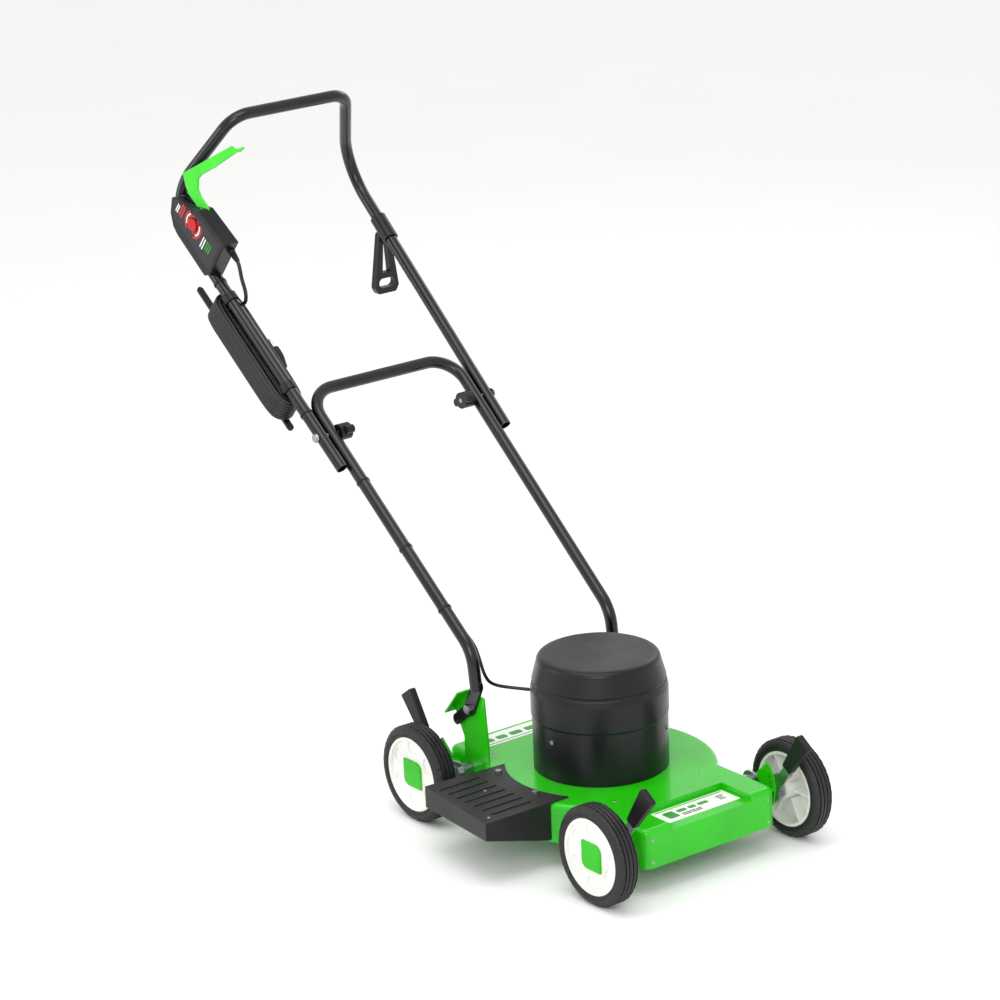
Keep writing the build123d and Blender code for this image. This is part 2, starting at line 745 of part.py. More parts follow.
# ---------------------------------------------------------------- lower handle
foot_y = section_half_width + bracket_thickness + foot_thickness / 2
lower_bend = leg_point(-lower_leg, -lower_bend_y)
lower_corner = leg_point(lower_top, -lower_corner_y)
lower_route = [(foot_top_x, -lower_bend_y, foot_top_z), lower_bend, lower_corner,
               (lower_corner[0], lower_corner_y, lower_corner[2]),
               (lower_bend[0], lower_bend_y, lower_bend[2]),
               (foot_top_x, lower_bend_y, foot_top_z)]
lower_radii = [bend_radius_lower, bend_radius_corner, bend_radius_corner, bend_radius_lower]
lower_tube = swept_tube(lower_route, lower_radii, handle_tube, handle_wall)

foot_slope = Vector(bracket_bolt_x - foot_top_x, bracket_bolt_z - foot_top_z).normalized()
tab_end = (bracket_bolt_x - foot_tab * 0.78, bracket_bolt_z - foot_tab * 0.62)
with BuildPart() as foot:
    with BuildSketch(side_plane(section_half_width + bracket_thickness)):
        bar_between((foot_top_x - 1, foot_top_z + 8), (bracket_bolt_x, bracket_bolt_z), foot_width)
        bar_between((bracket_bolt_x, bracket_bolt_z), tab_end, foot_width - 6)
        with Locations((bracket_bolt_x, bracket_bolt_z)):
            Circle(bracket_bolt_diameter / 2 + running_gap, mode=Mode.SUBTRACT)
    extrude(amount=foot_thickness)

with BuildPart() as lower_handle:
    add(lower_tube.part)
    add(foot.part)
    mirror(foot.part, about=Plane.XZ)
    with BuildSketch(side_plane(upper_knob_y)):
        with Locations((knob_x, knob_z)):
            Circle(knob_bolt_diameter / 2 + running_gap)
    extrude(amount=-2 * upper_knob_y, mode=Mode.SUBTRACT)
save(lower_handle, "lower_handle")

with BuildPart() as bracket_bolt:
    with BuildSketch(side_plane(section_half_width + bracket_thickness + foot_thickness)):
        with Locations((bracket_bolt_x, bracket_bolt_z)):
            RegularPolygon(8.5, 6)
    extrude(amount=6)
    with BuildSketch(side_plane(section_half_width - 7)):
        with Locations((bracket_bolt_x, bracket_bolt_z)):
            Circle(bracket_bolt_diameter / 2)
    extrude(amount=7 + bracket_thickness + foot_thickness)
    with BuildSketch(side_plane(section_half_width - 7)):
        with Locations((bracket_bolt_x, bracket_bolt_z)):
            RegularPolygon(8.5, 6)
    extrude(amount=7)
save(pair(bracket_bolt), "bracket_bolts")

# ---------------------------------------------------------------- upper handle
def upper_leg_y(station):
    """Distance of the upper leg's axis from the machine's middle, as it splays outwards."""
    return upper_knob_y + (upper_bend_y - upper_knob_y) * station / upper_leg


upper_end = leg_point(-upper_tail, -upper_leg_y(-upper_tail))
upper_bend = leg_point(upper_leg, -upper_bend_y)
upper_right = [upper_end, upper_bend, (hoop_x, -hoop_half_width, hoop_z)]
upper_route = upper_right + [(x, -y, z) for x, y, z in reversed(upper_right)]
upper_radii = [bend_radius_upper, bend_radius_hoop, bend_radius_hoop, bend_radius_upper]
upper_tube = swept_tube(upper_route, upper_radii, handle_tube, handle_wall)
upper_solid = swept_tube(upper_route, upper_radii, handle_tube)

with BuildPart() as upper_handle:
    add(upper_tube.part)
    with BuildSketch(side_plane(2 * upper_knob_y)):
        with Locations((knob_x, knob_z)):
            Circle(knob_bolt_diameter / 2 + running_gap)
    extrude(amount=-4 * upper_knob_y, mode=Mode.SUBTRACT)
save(upper_handle, "upper_handle")

# ---- knob bolts: a round head outside, through both tubes, into the wing knob inside
knob_inner = lower_knob_y - handle_tube / 2
with BuildPart() as knob_bolt:
    with BuildSketch(side_plane(knob_inner - knob_height)):
        with Locations((knob_x, knob_z)):
            Circle(knob_bolt_diameter / 2)
    extrude(amount=upper_knob_y + handle_tube / 2 + moving_gap - knob_inner + knob_height)
    with BuildSketch(side_plane(upper_knob_y + handle_tube / 2 + moving_gap)):
        with Locations((knob_x, knob_z)):
            Circle(9)
    extrude(amount=4, taper=20)
save(pair(knob_bolt), "knob_bolts")

with BuildPart() as wing_knob:
    with BuildSketch(side_plane(knob_inner - knob_height)):
        with Locations((knob_x, knob_z)):
            Circle(15)
    extrude(amount=knob_height - moving_gap)
    with BuildSketch(side_plane(knob_inner - knob_height)):
        with Locations(Location((knob_x, knob_z, 0), (0, 0, 25))):
            SlotOverall(knob_span, 15)
    extrude(amount=knob_height - 8)
    with BuildSketch(side_plane(knob_inner - knob_height - cut_over)):
        with Locations((knob_x, knob_z)):
            Circle(knob_bolt_diameter / 2 + running_gap)
    extrude(amount=knob_height + 2 * cut_over, mode=Mode.SUBTRACT)
save(wing_knob, "wing_knob_right")
save(twin(wing_knob), "wing_knob_left")

# ---------------------------------------------------------------- switch box
upper_axis_start = Vector(*leg_point(0, -upper_knob_y))
leg_run = (Vector(*upper_bend) - upper_axis_start).normalized()
leg_normal = Vector(leg_sin, 0, leg_cos)


def leg_spot(station, out=0.0, rise=0.0):
    """A point beside the right upper leg: up the leg, outwards, and proud of it."""
    outwards = leg_normal.cross(leg_run)
    return upper_axis_start + leg_run * station + outwards * out + leg_normal * rise


def leg_side(out):
    """The plane beside the right upper leg that faces inwards, X up the leg and Y proud of it."""
    return Plane(leg_spot(0, out), x_dir=leg_run, z_dir=leg_run.cross(leg_normal))


lean_out = -sin(radians(lever_lean))
lean_up = cos(radians(lever_lean))
lever_origin = leg_spot(0, lever_out, lever_datum)
lever_lift = leg_spot(0, lever_out + lean_out, lever_datum + lean_up) - lever_origin
lever_plane = Plane(lever_origin, x_dir=leg_run, z_dir=leg_run.cross(lever_lift))

with BuildPart() as switch_housing:
    with BuildSketch(leg_side(box_outer)):
        Polygon(*box_outline, align=None)
    extrude(amount=box_inner + box_outer)
    fillet(switch_housing.faces().sort_by(Axis(leg_spot(0), leg_side(0).z_dir))[0].edges(), box_edge)
    with BuildSketch(leg_side(lead_boss[2] - box_inner)):
        with Locations((box_end + lead_boss[0] / 2, 0)):
            Rectangle(lead_boss[0], lead_boss[1])
    extrude(amount=lead_boss[2], mode=Mode.ADD)
    with BuildSketch(leg_side(switch_size[2] / 2)):
        with Locations(switch_place):
            Rectangle(switch_size[0], switch_size[1])
    extrude(amount=switch_size[2], mode=Mode.SUBTRACT)
    add(upper_solid.part, mode=Mode.SUBTRACT)
    with BuildSketch(leg_side(box_outer + cut_over)):
        with Locations(button_place):
            Circle(button_diameter / 2 + moving_gap)
    extrude(amount=button_height + cut_over, mode=Mode.SUBTRACT)
    with BuildSketch(lever_plane.offset(-lever_thickness / 2 - moving_gap)):
        Polygon(*slot_outline, align=None)
        with Locations(lever_pivot):
            Circle(lever_root_radius + 4)
    extrude(amount=lever_thickness + 2 * moving_gap, mode=Mode.SUBTRACT)
    with BuildSketch(lever_plane.offset(-lever_pin_length / 2)):
        with Locations(lever_pivot):
            Circle(lever_pin_diameter / 2)
    extrude(amount=lever_pin_length, mode=Mode.SUBTRACT)
save(switch_housing, "switch_housing")

with BuildPart() as switch_block:
    with BuildSketch(leg_side(switch_size[2] / 2)):
        with Locations(switch_place):
            Rectangle(switch_size[0], switch_size[1])
    extrude(amount=switch_size[2])
save(switch_block, "switch_block")

with BuildPart() as lock_button:
    with BuildSketch(leg_side(box_outer + button_travel)):
        with Locations(button_place):
            Circle(button_diameter / 2)
    extrude(amount=button_height - moving_gap)
    fillet(lock_button.faces().sort_by(Axis(leg_spot(0), leg_side(0).z_dir))[0].edges(), 1.5)
save(lock_button, "lock_button")

with BuildPart() as lever_pin:
    with BuildSketch(lever_plane.offset(-lever_pin_length / 2)):
        with Locations(lever_pivot):
            Circle(lever_pin_diameter / 2)
    extrude(amount=lever_pin_length)
save(lever_pin, "lever_pin")

with BuildPart() as switch_lever:
    with BuildSketch(lever_plane.offset(-lever_thickness / 2)):
        Polygon(*lever_outline, align=None)
        with Locations(lever_pivot):
            Circle(lever_root_radius)
            Circle(lever_pin_diameter / 2 + running_gap, mode=Mode.SUBTRACT)
    extrude(amount=lever_thickness)
save(switch_lever, "switch_lever")

# ---------------------------------------------------------------- lead from the switch to the motor
lead_reach = handle_tube / 2 + lead_diameter / 2 + moving_gap
lead_offset = lead_reach * sin(radians(45))


def lead_spot(station, y):
    """A point of the motor lead, under and inside the leg whose axis is at y."""
    return leg_point(station, lead_offset - y, -lead_offset)


def lower_leg_y(station):
    """Distance of the lower leg's axis from the machine's middle; stations below the knob are negative."""
    return lower_knob_y + (lower_knob_y - lower_bend_y) * station / lower_leg


def staggered(points):
    """Every second point a little off the line, so that each corner turns."""
    return [(x, y + 1.2 * (i % 2), z - 0.8 * (i % 2)) for i, (x, y, z) in enumerate(points)]


def route_radii(points):
    """The largest smooth arc at each corner: 0.45 of the shorter run over the tangent of half the turn."""
    spots = [Vector(*p) for p in points]
    radii = []
    for before, here, after in zip(spots, spots[1:], spots[2:]):
        half_turn = radians((here - before).get_angle(after - here) / 2)
        shorter = min((here - before).length, (after - here).length)
        radii.append(0.45 * shorter * cos(half_turn) / sin(half_turn))
    return radii


def lead_tube(points, diameter, name):
    """A lead's plain tube, with its arcs' radii and its length printed."""
    radii = route_radii(points)
    piece = swept_tube(points, radii, diameter)
    length = piece.part.volume / (pi * diameter ** 2 / 4)
    print(name, "radii", [round(r, 1) for r in radii], "length", round(length, 1))
    save(piece, name)


upper_lead_stations = (box_end, 325, 270, 215, 160, 105, 50, 8)
upper_lead_points = staggered([lead_spot(s, upper_leg_y(s)) for s in upper_lead_stations])
lead_tube(upper_lead_points, lead_diameter, "motor_lead_upper")

junction = Vector(*upper_lead_points[-1])
onward = junction + (junction - Vector(*upper_lead_points[-2])).normalized() * 14
lead_in = lead_entry * cover_radius
lower_lead_points = [tuple(junction), tuple(onward), leg_point(-26, -163, -17), leg_point(-50, -151, -15)]
lower_lead_stations = (-80, -130, -185, -240, -295, -350, -405)
lower_lead_points += staggered([lead_spot(s, lower_leg_y(s)) for s in lower_lead_stations])
lower_lead_points += [(-172, -137, 328), (-158, -136, 300), (-149, -134, 272), (-150, -118, 250),
                      tuple(lead_entry * 150 + Vector(0, 0, lead_entry_height)),
                      tuple(lead_entry * lead_entry_radius + Vector(0, 0, lead_entry_height))]
lead_tube(lower_lead_points, lead_diameter, "motor_lead_lower")

# ---------------------------------------------------------------- cord holder, hank, lead and plug
post_stations = (hank_start + hank_width / 2, hank_start + hank_length - hank_width / 2)
horn_rise = -hank_offset - hank_depth - post_gap - holder_bar / 2
collar_width = 16.0
collar_wall = 3.0
with BuildPart() as cord_horns:
    for station, end_station in zip(post_stations, (holder_start, holder_end)):
        with BuildSketch(Plane(leg_spot(station - collar_width / 2), z_dir=leg_run)):
            Circle(handle_tube / 2 + collar_wall)
        extrude(amount=collar_width)
        with BuildSketch(Plane(leg_spot(station, -hank_shift, 0), z_dir=-leg_normal)):
            Circle(post_diameter / 2)
        extrude(amount=-horn_rise)
        with BuildSketch(Plane(leg_spot(station, -hank_shift, horn_rise), x_dir=leg_run, z_dir=leg_normal)):
            bar_between((0, 0), (end_station - station, 0), post_diameter)
        extrude(amount=holder_bar / 2, both=True)
    add(upper_solid.part, mode=Mode.SUBTRACT)
    for station in post_stations:
        channel_start = lead_spot(station - collar_width, upper_leg_y(station))
        with BuildSketch(Plane(channel_start, x_dir=(0, 1, 0), z_dir=leg_run)):
            Rectangle(lead_channel_width, lead_channel_width)
        extrude(amount=2 * collar_width, mode=Mode.SUBTRACT)
save(cord_horns, "cord_horns")

hank_middle = hank_start + hank_length / 2
hank_plane = Plane(leg_spot(hank_middle, -hank_shift, -hank_offset), x_dir=leg_run, z_dir=-leg_normal)
with BuildPart() as cord_hank:
    with BuildSketch(hank_plane):
        SlotOverall(hank_length, hank_width)
    extrude(amount=hank_depth)
    fillet(cord_hank.edges(), 12)
    with BuildSketch(hank_plane):
        SlotOverall(hank_length - hank_width + post_diameter + 2 * post_gap, post_diameter + 2 * post_gap)
    extrude(amount=hank_depth, mode=Mode.SUBTRACT)
save(cord_hank, "cord_hank")

gland_top = box_end
gland_length = 12.0
with BuildPart() as cord_gland:
    with BuildSketch(Plane(leg_spot(gland_top, -10, 66), z_dir=-leg_run)):
        Circle(7)
    extrude(amount=gland_length, taper=5)
save(cord_gland, "cord_gland")

cord_stations = [(gland_top - gland_length, -10, 66), (354, -10, 66), (341, -11, 54), (331, -14, 40),
                 (319, -18, 28), (309, -20, 14), (306, -20, 0), (306, -20, -hank_offset)]
lead_tube([tuple(leg_spot(*spot)) for spot in cord_stations], cord_diameter, "cord_lead")

plug_spot = leg_spot(200, -hank_shift - hank_width / 2 - plug_thickness / 2, -hank_offset - hank_depth / 2)
with BuildPart() as cord_plug:
    with BuildSketch(Plane(plug_spot - leg_normal * plug_width / 2, x_dir=leg_run, z_dir=leg_normal)):
        Rectangle(plug_length, plug_thickness)
    extrude(amount=plug_width)
    fillet(cord_plug.edges(), 3)
    with BuildSketch(Plane(plug_spot + leg_run * (plug_length / 2 - 1), x_dir=leg_normal, z_dir=leg_run)):
        with Locations((-pin_spacing / 2, 0), (pin_spacing / 2, 0)):
            Circle(pin_diameter / 2)
    extrude(amount=pin_length + 1)
save(cord_plug, "cord_plug")

# ---- cord guide: a clip round the left leg with a long looped hook hanging from it
guide_top = Vector(*leg_point(guide_station, upper_leg_y(guide_station)))
left_run = Vector(leg_run.X, -leg_run.Y, leg_run.Z)
with BuildPart() as cord_guide:
    with BuildSketch(Plane(guide_top - left_run * 26, z_dir=left_run)):
        Circle(handle_tube / 2 + 4)
    extrude(amount=52)
    with BuildSketch(Plane(guide_top + Vector(-6, 0, 0), x_dir=(0, 1, 0), z_dir=(1, 0, 0))) as hook_plan:
        Polygon((-12, -8), (12, -8), (27, -112), (20, -124), (-20, -124), (-27, -112), align=None)
        fillet(hook_plan.vertices(), 5)
        Polygon((-5, -30), (5, -30), (9, -84), (-9, -84), align=None, mode=Mode.SUBTRACT)
        with Locations((0, -104)):
            SlotOverall(36, 18, mode=Mode.SUBTRACT)
    extrude(amount=7, both=True)
    with BuildSketch(Plane(guide_top - left_run * 40, z_dir=left_run)):
        Circle(handle_tube / 2)
    extrude(amount=80, mode=Mode.SUBTRACT)
save(cord_guide, "cord_guide")
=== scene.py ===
"""Finish of a corded electric rotary lawn mower: enamelled deck, moulded plastics, rubber tyres,
plated steel, and the mains cord wound on the handle. Metres, +X forward, +Y to the left, +Z up.
"""

import math

import bmesh
import bpy
from mathutils import Matrix, Vector


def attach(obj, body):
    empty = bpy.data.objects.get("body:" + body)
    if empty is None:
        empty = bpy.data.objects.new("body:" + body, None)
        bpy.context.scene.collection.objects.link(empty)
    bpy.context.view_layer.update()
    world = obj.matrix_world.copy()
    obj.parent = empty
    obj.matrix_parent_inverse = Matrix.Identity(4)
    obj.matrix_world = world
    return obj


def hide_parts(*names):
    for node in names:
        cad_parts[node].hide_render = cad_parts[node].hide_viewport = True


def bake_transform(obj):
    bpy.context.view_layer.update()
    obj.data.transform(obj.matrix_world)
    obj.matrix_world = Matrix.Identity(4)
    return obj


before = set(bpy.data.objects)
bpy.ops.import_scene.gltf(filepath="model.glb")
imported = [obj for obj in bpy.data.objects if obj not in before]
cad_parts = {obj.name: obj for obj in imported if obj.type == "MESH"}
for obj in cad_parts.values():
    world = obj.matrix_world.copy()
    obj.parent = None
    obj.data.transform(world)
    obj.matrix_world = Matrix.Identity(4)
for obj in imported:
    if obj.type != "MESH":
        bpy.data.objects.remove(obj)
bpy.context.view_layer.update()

# ---- sizes of the machine, in metres
LEG_ANGLE = math.radians(39.5)
KNOB_X, KNOB_Z = -0.5325, 0.6305
UPPER_KNOB_Y, UPPER_BEND_Y, UPPER_LEG = 0.1842, 0.200, 0.558
LOWER_KNOB_Y, LOWER_BEND_Y, LOWER_LEG = 0.1605, 0.154, 0.488
HANDLE_TUBE = 0.022
WHEEL_RADIUS, RIM_RADIUS, WHEEL_WIDTH = 0.0875, 0.067, 0.042
HALF_TRACK = 0.215
AXLES = {"front": 0.252, "rear": -0.242}
DECK_TOP = 0.118
POCKET_FLOOR = 0.107
BOX_OUTER = 0.016
CORD_DIAMETER = 0.007
LEAD_DIAMETER = 0.006
HANK_START, HANK_LENGTH, HANK_WIDTH, HANK_DEPTH = 0.085, 0.270, 0.060, 0.050
HANK_OFFSET, HANK_SHIFT = 0.0145, 0.005


# ---------------------------------------------------------------- places on the handle
def leg_point(station, y, rise=0.0):
    """A point on the handle's leaning plane, from the knob bolt along the leg and proud of it."""
    return Vector((KNOB_X - station * math.cos(LEG_ANGLE) + rise * math.sin(LEG_ANGLE), y,
                   KNOB_Z + station * math.sin(LEG_ANGLE) + rise * math.cos(LEG_ANGLE)))


leg_start = leg_point(0, -UPPER_KNOB_Y)
leg_run = (leg_point(UPPER_LEG, -UPPER_BEND_Y) - leg_start).normalized()
leg_rise = Vector((math.sin(LEG_ANGLE), 0, math.cos(LEG_ANGLE)))
leg_out = leg_rise.cross(leg_run)


def leg_spot(station, out=0.0, rise=0.0):
    """A point beside the right upper leg: up the leg, outwards, and proud of it."""
    return leg_start + leg_run * station + leg_out * out + leg_rise * rise


def upper_leg_y(station):
    return UPPER_KNOB_Y + (UPPER_BEND_Y - UPPER_KNOB_Y) * station / UPPER_LEG


def lower_leg_y(station):
    return LOWER_KNOB_Y + (LOWER_KNOB_Y - LOWER_BEND_Y) * station / LOWER_LEG


# ---------------------------------------------------------------- node helpers
def linear(hex_colour):
    """An sRGB hex colour as the linear values that a shader takes."""
    channels = [int(hex_colour[i:i + 2], 16) / 255 for i in (0, 2, 4)]
    return tuple(c / 12.92 if c <= 0.04045 else ((c + 0.055) / 1.055) ** 2.4 for c in channels) + (1.0,)


def put(tree, kind, inputs=None, **settings):
    """Adds a node: settings are its properties, and inputs are values or other nodes' outputs."""
    made = tree.nodes.new(kind)
    for name, value in settings.items():
        setattr(made, name, value)
    for name, value in (inputs or {}).items():
        if isinstance(value, bpy.types.NodeSocket):
            tree.links.new(value, made.inputs[name])
        else:
            made.inputs[name].default_value = value
    return made


def new_material(name):
    """An empty node material with its shader, and the object's own coordinates."""
    material = bpy.data.materials.new(name)
    material.use_nodes = True
    tree = material.node_tree
    tree.nodes.clear()
    shader = put(tree, "ShaderNodeBsdfPrincipled")
    put(tree, "ShaderNodeOutputMaterial", {"Surface": shader.outputs["BSDF"]})
    coords = put(tree, "ShaderNodeTexCoord").outputs["Object"]
    return material, tree, shader, coords


def noise(tree, coords, per_metre, detail=3.0, roughness=0.5):
    """Noise whose blotches repeat about so many times a metre."""
    return put(tree, "ShaderNodeTexNoise", {"Vector": coords, "Scale": per_metre, "Detail": detail,
                                            "Roughness": roughness}).outputs["Fac"]


def spread(tree, factor, low, high, from_low=0.3, from_high=0.7):
    """A factor carried from one range of values to another."""
    return put(tree, "ShaderNodeMapRange", {"Value": factor, "From Min": from_low, "From Max": from_high,
                                            "To Min": low, "To Max": high}).outputs["Result"]


def blend_colours(tree, factor, first, second):
    """Two colours mixed by a factor; either may be a hex colour or another node's output."""
    mix = put(tree, "ShaderNodeMix", {"Factor": factor}, data_type="RGBA")
    for socket, colour in ((mix.inputs[6], first), (mix.inputs[7], second)):
        if isinstance(colour, str):
            socket.default_value = linear(colour)
        else:
            tree.links.new(colour, socket)
    return mix.outputs[2]


def bump(tree, shader, height, strength, depth):
    """Relief on the surface, so deep in metres."""
    relief = put(tree, "ShaderNodeBump", {"Height": height, "Strength": strength, "Distance": depth})
    tree.links.new(relief.outputs["Normal"], shader.inputs["Normal"])


# ---------------------------------------------------------------- materials
def enamelled_steel(name, colour, shade, dust, dust_colour):
    """Pressed steel sheet with baked gloss enamel: a wet shine over slight orange peel, and fine
    dust that settles in blotches and dulls it."""
    material, tree, shader, coords = new_material(name)
    drift = noise(tree, coords, 9.0)
    settled = put(tree, "ShaderNodeMath", {0: noise(tree, coords, 34.0, 6.0, 0.65), 1: drift},
                  operation="MULTIPLY").outputs[0]
    dusty = spread(tree, settled, 0.0, dust, 0.2, 0.42)
    paint = blend_colours(tree, spread(tree, drift, 0.0, 1.0), colour, shade)
    tree.links.new(blend_colours(tree, dusty, paint, dust_colour), shader.inputs["Base Color"])
    tree.links.new(spread(tree, dusty, 0.2, 0.48, 0.0, 0.3), shader.inputs["Roughness"])
    shader.inputs["Coat Weight"].default_value = 0.25
    shader.inputs["Specular IOR Level"].default_value = 0.35
    shader.inputs["Coat Roughness"].default_value = 0.07
    bump(tree, shader, noise(tree, coords, 260.0, 2.0), 0.12, 0.0004)
    return material


def moulded_plastic(name, colour, shade, roughness, grain_per_metre=900.0, scuff=0.25, scuff_colour="55575a"):
    """Injection-moulded ABS or polypropylene: a fine even grain, flow shading, and paler rubbed streaks."""
    material, tree, shader, coords = new_material(name)
    flow = noise(tree, coords, 14.0)
    stretched = put(tree, "ShaderNodeMapping", {"Vector": coords, "Scale": (1.0, 3.5, 9.0)}).outputs[0]
    rubbed = spread(tree, noise(tree, stretched, 40.0, 8.0, 0.7), 0.0, scuff, 0.56, 0.78)
    body = blend_colours(tree, spread(tree, flow, 0.0, 1.0), colour, shade)
    tree.links.new(blend_colours(tree, rubbed, body, scuff_colour), shader.inputs["Base Color"])
    tree.links.new(spread(tree, flow, roughness - 0.06, roughness + 0.08), shader.inputs["Roughness"])
    shader.inputs["Specular IOR Level"].default_value = 0.35
    bump(tree, shader, noise(tree, coords, grain_per_metre, 2.0), 0.22, 0.00025)
    return material


def tyre_rubber():
    """Moulded carbon-black rubber: dull, with greyish dusty blotches all over."""
    material, tree, shader, coords = new_material("moulded_tyre_rubber")
    grime = spread(tree, noise(tree, coords, 60.0, 7.0, 0.7), 0.0, 0.5, 0.42, 0.72)
    body = blend_colours(tree, spread(tree, noise(tree, coords, 12.0), 0.0, 1.0), "0f1011", "161718")
    tree.links.new(blend_colours(tree, grime, body, "2a2927"), shader.inputs["Base Color"])
    tree.links.new(spread(tree, grime, 0.5, 0.78, 0.0, 0.5), shader.inputs["Roughness"])
    bump(tree, shader, noise(tree, coords, 700.0, 4.0), 0.3, 0.0004)
    return material


def plated_steel(name, colour, shade, roughness, spangle_per_metre=220.0):
    """Zinc-plated steel: bright blue-grey metal with soft blotches in its shine."""
    material, tree, shader, coords = new_material(name)
    blotch = noise(tree, coords, spangle_per_metre, 4.0, 0.6)
    tree.links.new(blend_colours(tree, spread(tree, blotch, 0.0, 1.0), colour, shade),
                   shader.inputs["Base Color"])
    tree.links.new(spread(tree, blotch, roughness - 0.08, roughness + 0.14), shader.inputs["Roughness"])
    shader.inputs["Metallic"].default_value = 1.0
    bump(tree, shader, noise(tree, coords, 500.0, 3.0), 0.15, 0.0003)
    return material


def ground_steel():
    """Hardened blade steel with grinding lines across it, about 1.5 mm apart, and grass stain."""
    material, tree, shader, coords = new_material("ground_blade_steel")
    lines = put(tree, "ShaderNodeTexWave",
                {"Vector": coords, "Scale": 105.0, "Distortion": 1.6, "Detail": 3.0},
                bands_direction="X").outputs["Fac"]
    stain = spread(tree, noise(tree, coords, 38.0, 6.0), 0.0, 0.55, 0.5, 0.7)
    metal = blend_colours(tree, lines, "6f7276", "9a9da1")
    tree.links.new(blend_colours(tree, stain, metal, "4e5230"), shader.inputs["Base Color"])
    tree.links.new(spread(tree, lines, 0.28, 0.45, 0.0, 1.0), shader.inputs["Roughness"])
    shader.inputs["Metallic"].default_value = 0.95
    bump(tree, shader, lines, 0.2, 0.0002)
    return material


def stacked_laminations():
    """Electrical steel sheets pressed in a stack, their edges drawn 2 mm apart so that they show."""
    material, tree, shader, coords = new_material("stacked_laminations")
    edges = put(tree, "ShaderNodeTexWave", {"Vector": coords, "Scale": 78.0, "Distortion": 0.1},
                bands_direction="Z").outputs["Fac"]
    tree.links.new(blend_colours(tree, edges, "3b3d42", "74777d"), shader.inputs["Base Color"])
    tree.links.new(spread(tree, noise(tree, coords, 90.0), 0.35, 0.55), shader.inputs["Roughness"])
    shader.inputs["Metallic"].default_value = 0.9
    bump(tree, shader, edges, 0.5, 0.0004)
    return material


def enamelled_copper():
    """Wound copper wire in amber enamel, its turns drawn 1.6 mm apart."""
    material, tree, shader, coords = new_material("enamelled_copper_wire")
    turns = put(tree, "ShaderNodeTexWave", {"Vector": coords, "Scale": 98.0, "Distortion": 2.0},
                wave_type="RINGS", rings_direction="Z").outputs["Fac"]
    tree.links.new(blend_colours(tree, turns, "6e2f12", "c8793c"), shader.inputs["Base Color"])
    tree.links.new(spread(tree, turns, 0.45, 0.25, 0.0, 1.0), shader.inputs["Roughness"])
    shader.inputs["Metallic"].default_value = 0.8
    bump(tree, shader, turns, 0.6, 0.0006)
    return material


def printed_vinyl(name, colour, shade):
    """Printed vinyl film: nearly smooth, with a satin varnish and faint handling marks."""
    material, tree, shader, coords = new_material(name)
    marks = noise(tree, coords, 45.0, 6.0, 0.65)
    tree.links.new(blend_colours(tree, spread(tree, marks, 0.0, 0.8, 0.4, 0.75), colour, shade),
                   shader.inputs["Base Color"])
    tree.links.new(spread(tree, marks, 0.25, 0.4), shader.inputs["Roughness"])
    bump(tree, shader, marks, 0.05, 0.0002)
    return material


def cord_sheath():
    """Extruded black PVC sheath: soft shine, slightly dusty, with a faint drawn texture."""
    material, tree, shader, coords = new_material("extruded_pvc_sheath")
    dusty = noise(tree, coords, 55.0, 6.0, 0.6)
    tree.links.new(blend_colours(tree, spread(tree, dusty, 0.0, 1.0, 0.4, 0.75), "0a0b0c", "1c1d1f"),
                   shader.inputs["Base Color"])
    tree.links.new(spread(tree, dusty, 0.32, 0.5), shader.inputs["Roughness"])
    bump(tree, shader, noise(tree, coords, 420.0, 2.0), 0.15, 0.0002)
    return material


def studio_paper():
    """Matt white background paper."""
    material, tree, shader, coords = new_material("matt_background_paper")
    fibre = noise(tree, coords, 3.0)
    tree.links.new(blend_colours(tree, fibre, "fbfbfa", "f7f7f6"), shader.inputs["Base Color"])
    shader.inputs["Roughness"].default_value = 0.9
    return material


deck_green = enamelled_steel("deck_gloss_enamel", "22c400", "1cb202", 0.05, "6fa04c")
tube_black = enamelled_steel("tube_gloss_enamel", "060709", "0b0c0f", 0.10, "1e2023")
abs_black = moulded_plastic("cover_abs_black", "0b0c0f", "111217", 0.34, 900.0, 0.14, "26272b")
chute_plastic = moulded_plastic("chute_polypropylene", "1c1b1d", "252325", 0.50, 500.0, 0.30, "4a474a")
grip_plastic = moulded_plastic("grip_polypropylene", "0a0b0c", "121315", 0.46, 900.0, 0.15, "2c2d2f")
fan_plastic = moulded_plastic("fan_nylon_grey", "3a3c40", "47494e", 0.5)
rim_plastic = moulded_plastic("rim_polypropylene_white", "f2f2ee", "e2e2dc", 0.38, 700.0, 0.35, "b9b7ae")
cap_plastic = moulded_plastic("cap_abs_green", "28c002", "22ae02", 0.34, 900.0, 0.15, "74b458")
lever_plastic = moulded_plastic("lever_nylon_green", "2fce02", "28bf02", 0.36, 900.0, 0.12, "6cc94a")
button_plastic = moulded_plastic("button_abs_red", "d8090c", "b90609", 0.3, 900.0, 0.1, "e0605c")
rubber = tyre_rubber()
zinc = plated_steel("zinc_plated_steel", "b6babd", "8f9499", 0.32)
bearing_steel = plated_steel("polished_bearing_steel", "c7c9cb", "a9acaf", 0.2, 90.0)
cast_alloy = plated_steel("cast_aluminium_alloy", "a9abad", "8b8d90", 0.5, 400.0)
blade_metal = ground_steel()
laminations = stacked_laminations()
copper = enamelled_copper()
sheath = cord_sheath()
label_white = printed_vinyl("label_vinyl_white", "eff5ea", "dde8d6")
label_green = printed_vinyl("label_ink_green", "1d8f2a", "187a22")
label_dark = printed_vinyl("label_ink_dark", "1c2b1e", "152018")
label_red = printed_vinyl("label_ink_red", "c9100f", "a90c0c")
panel_black = printed_vinyl("label_vinyl_black", "0d0d10", "16161a")

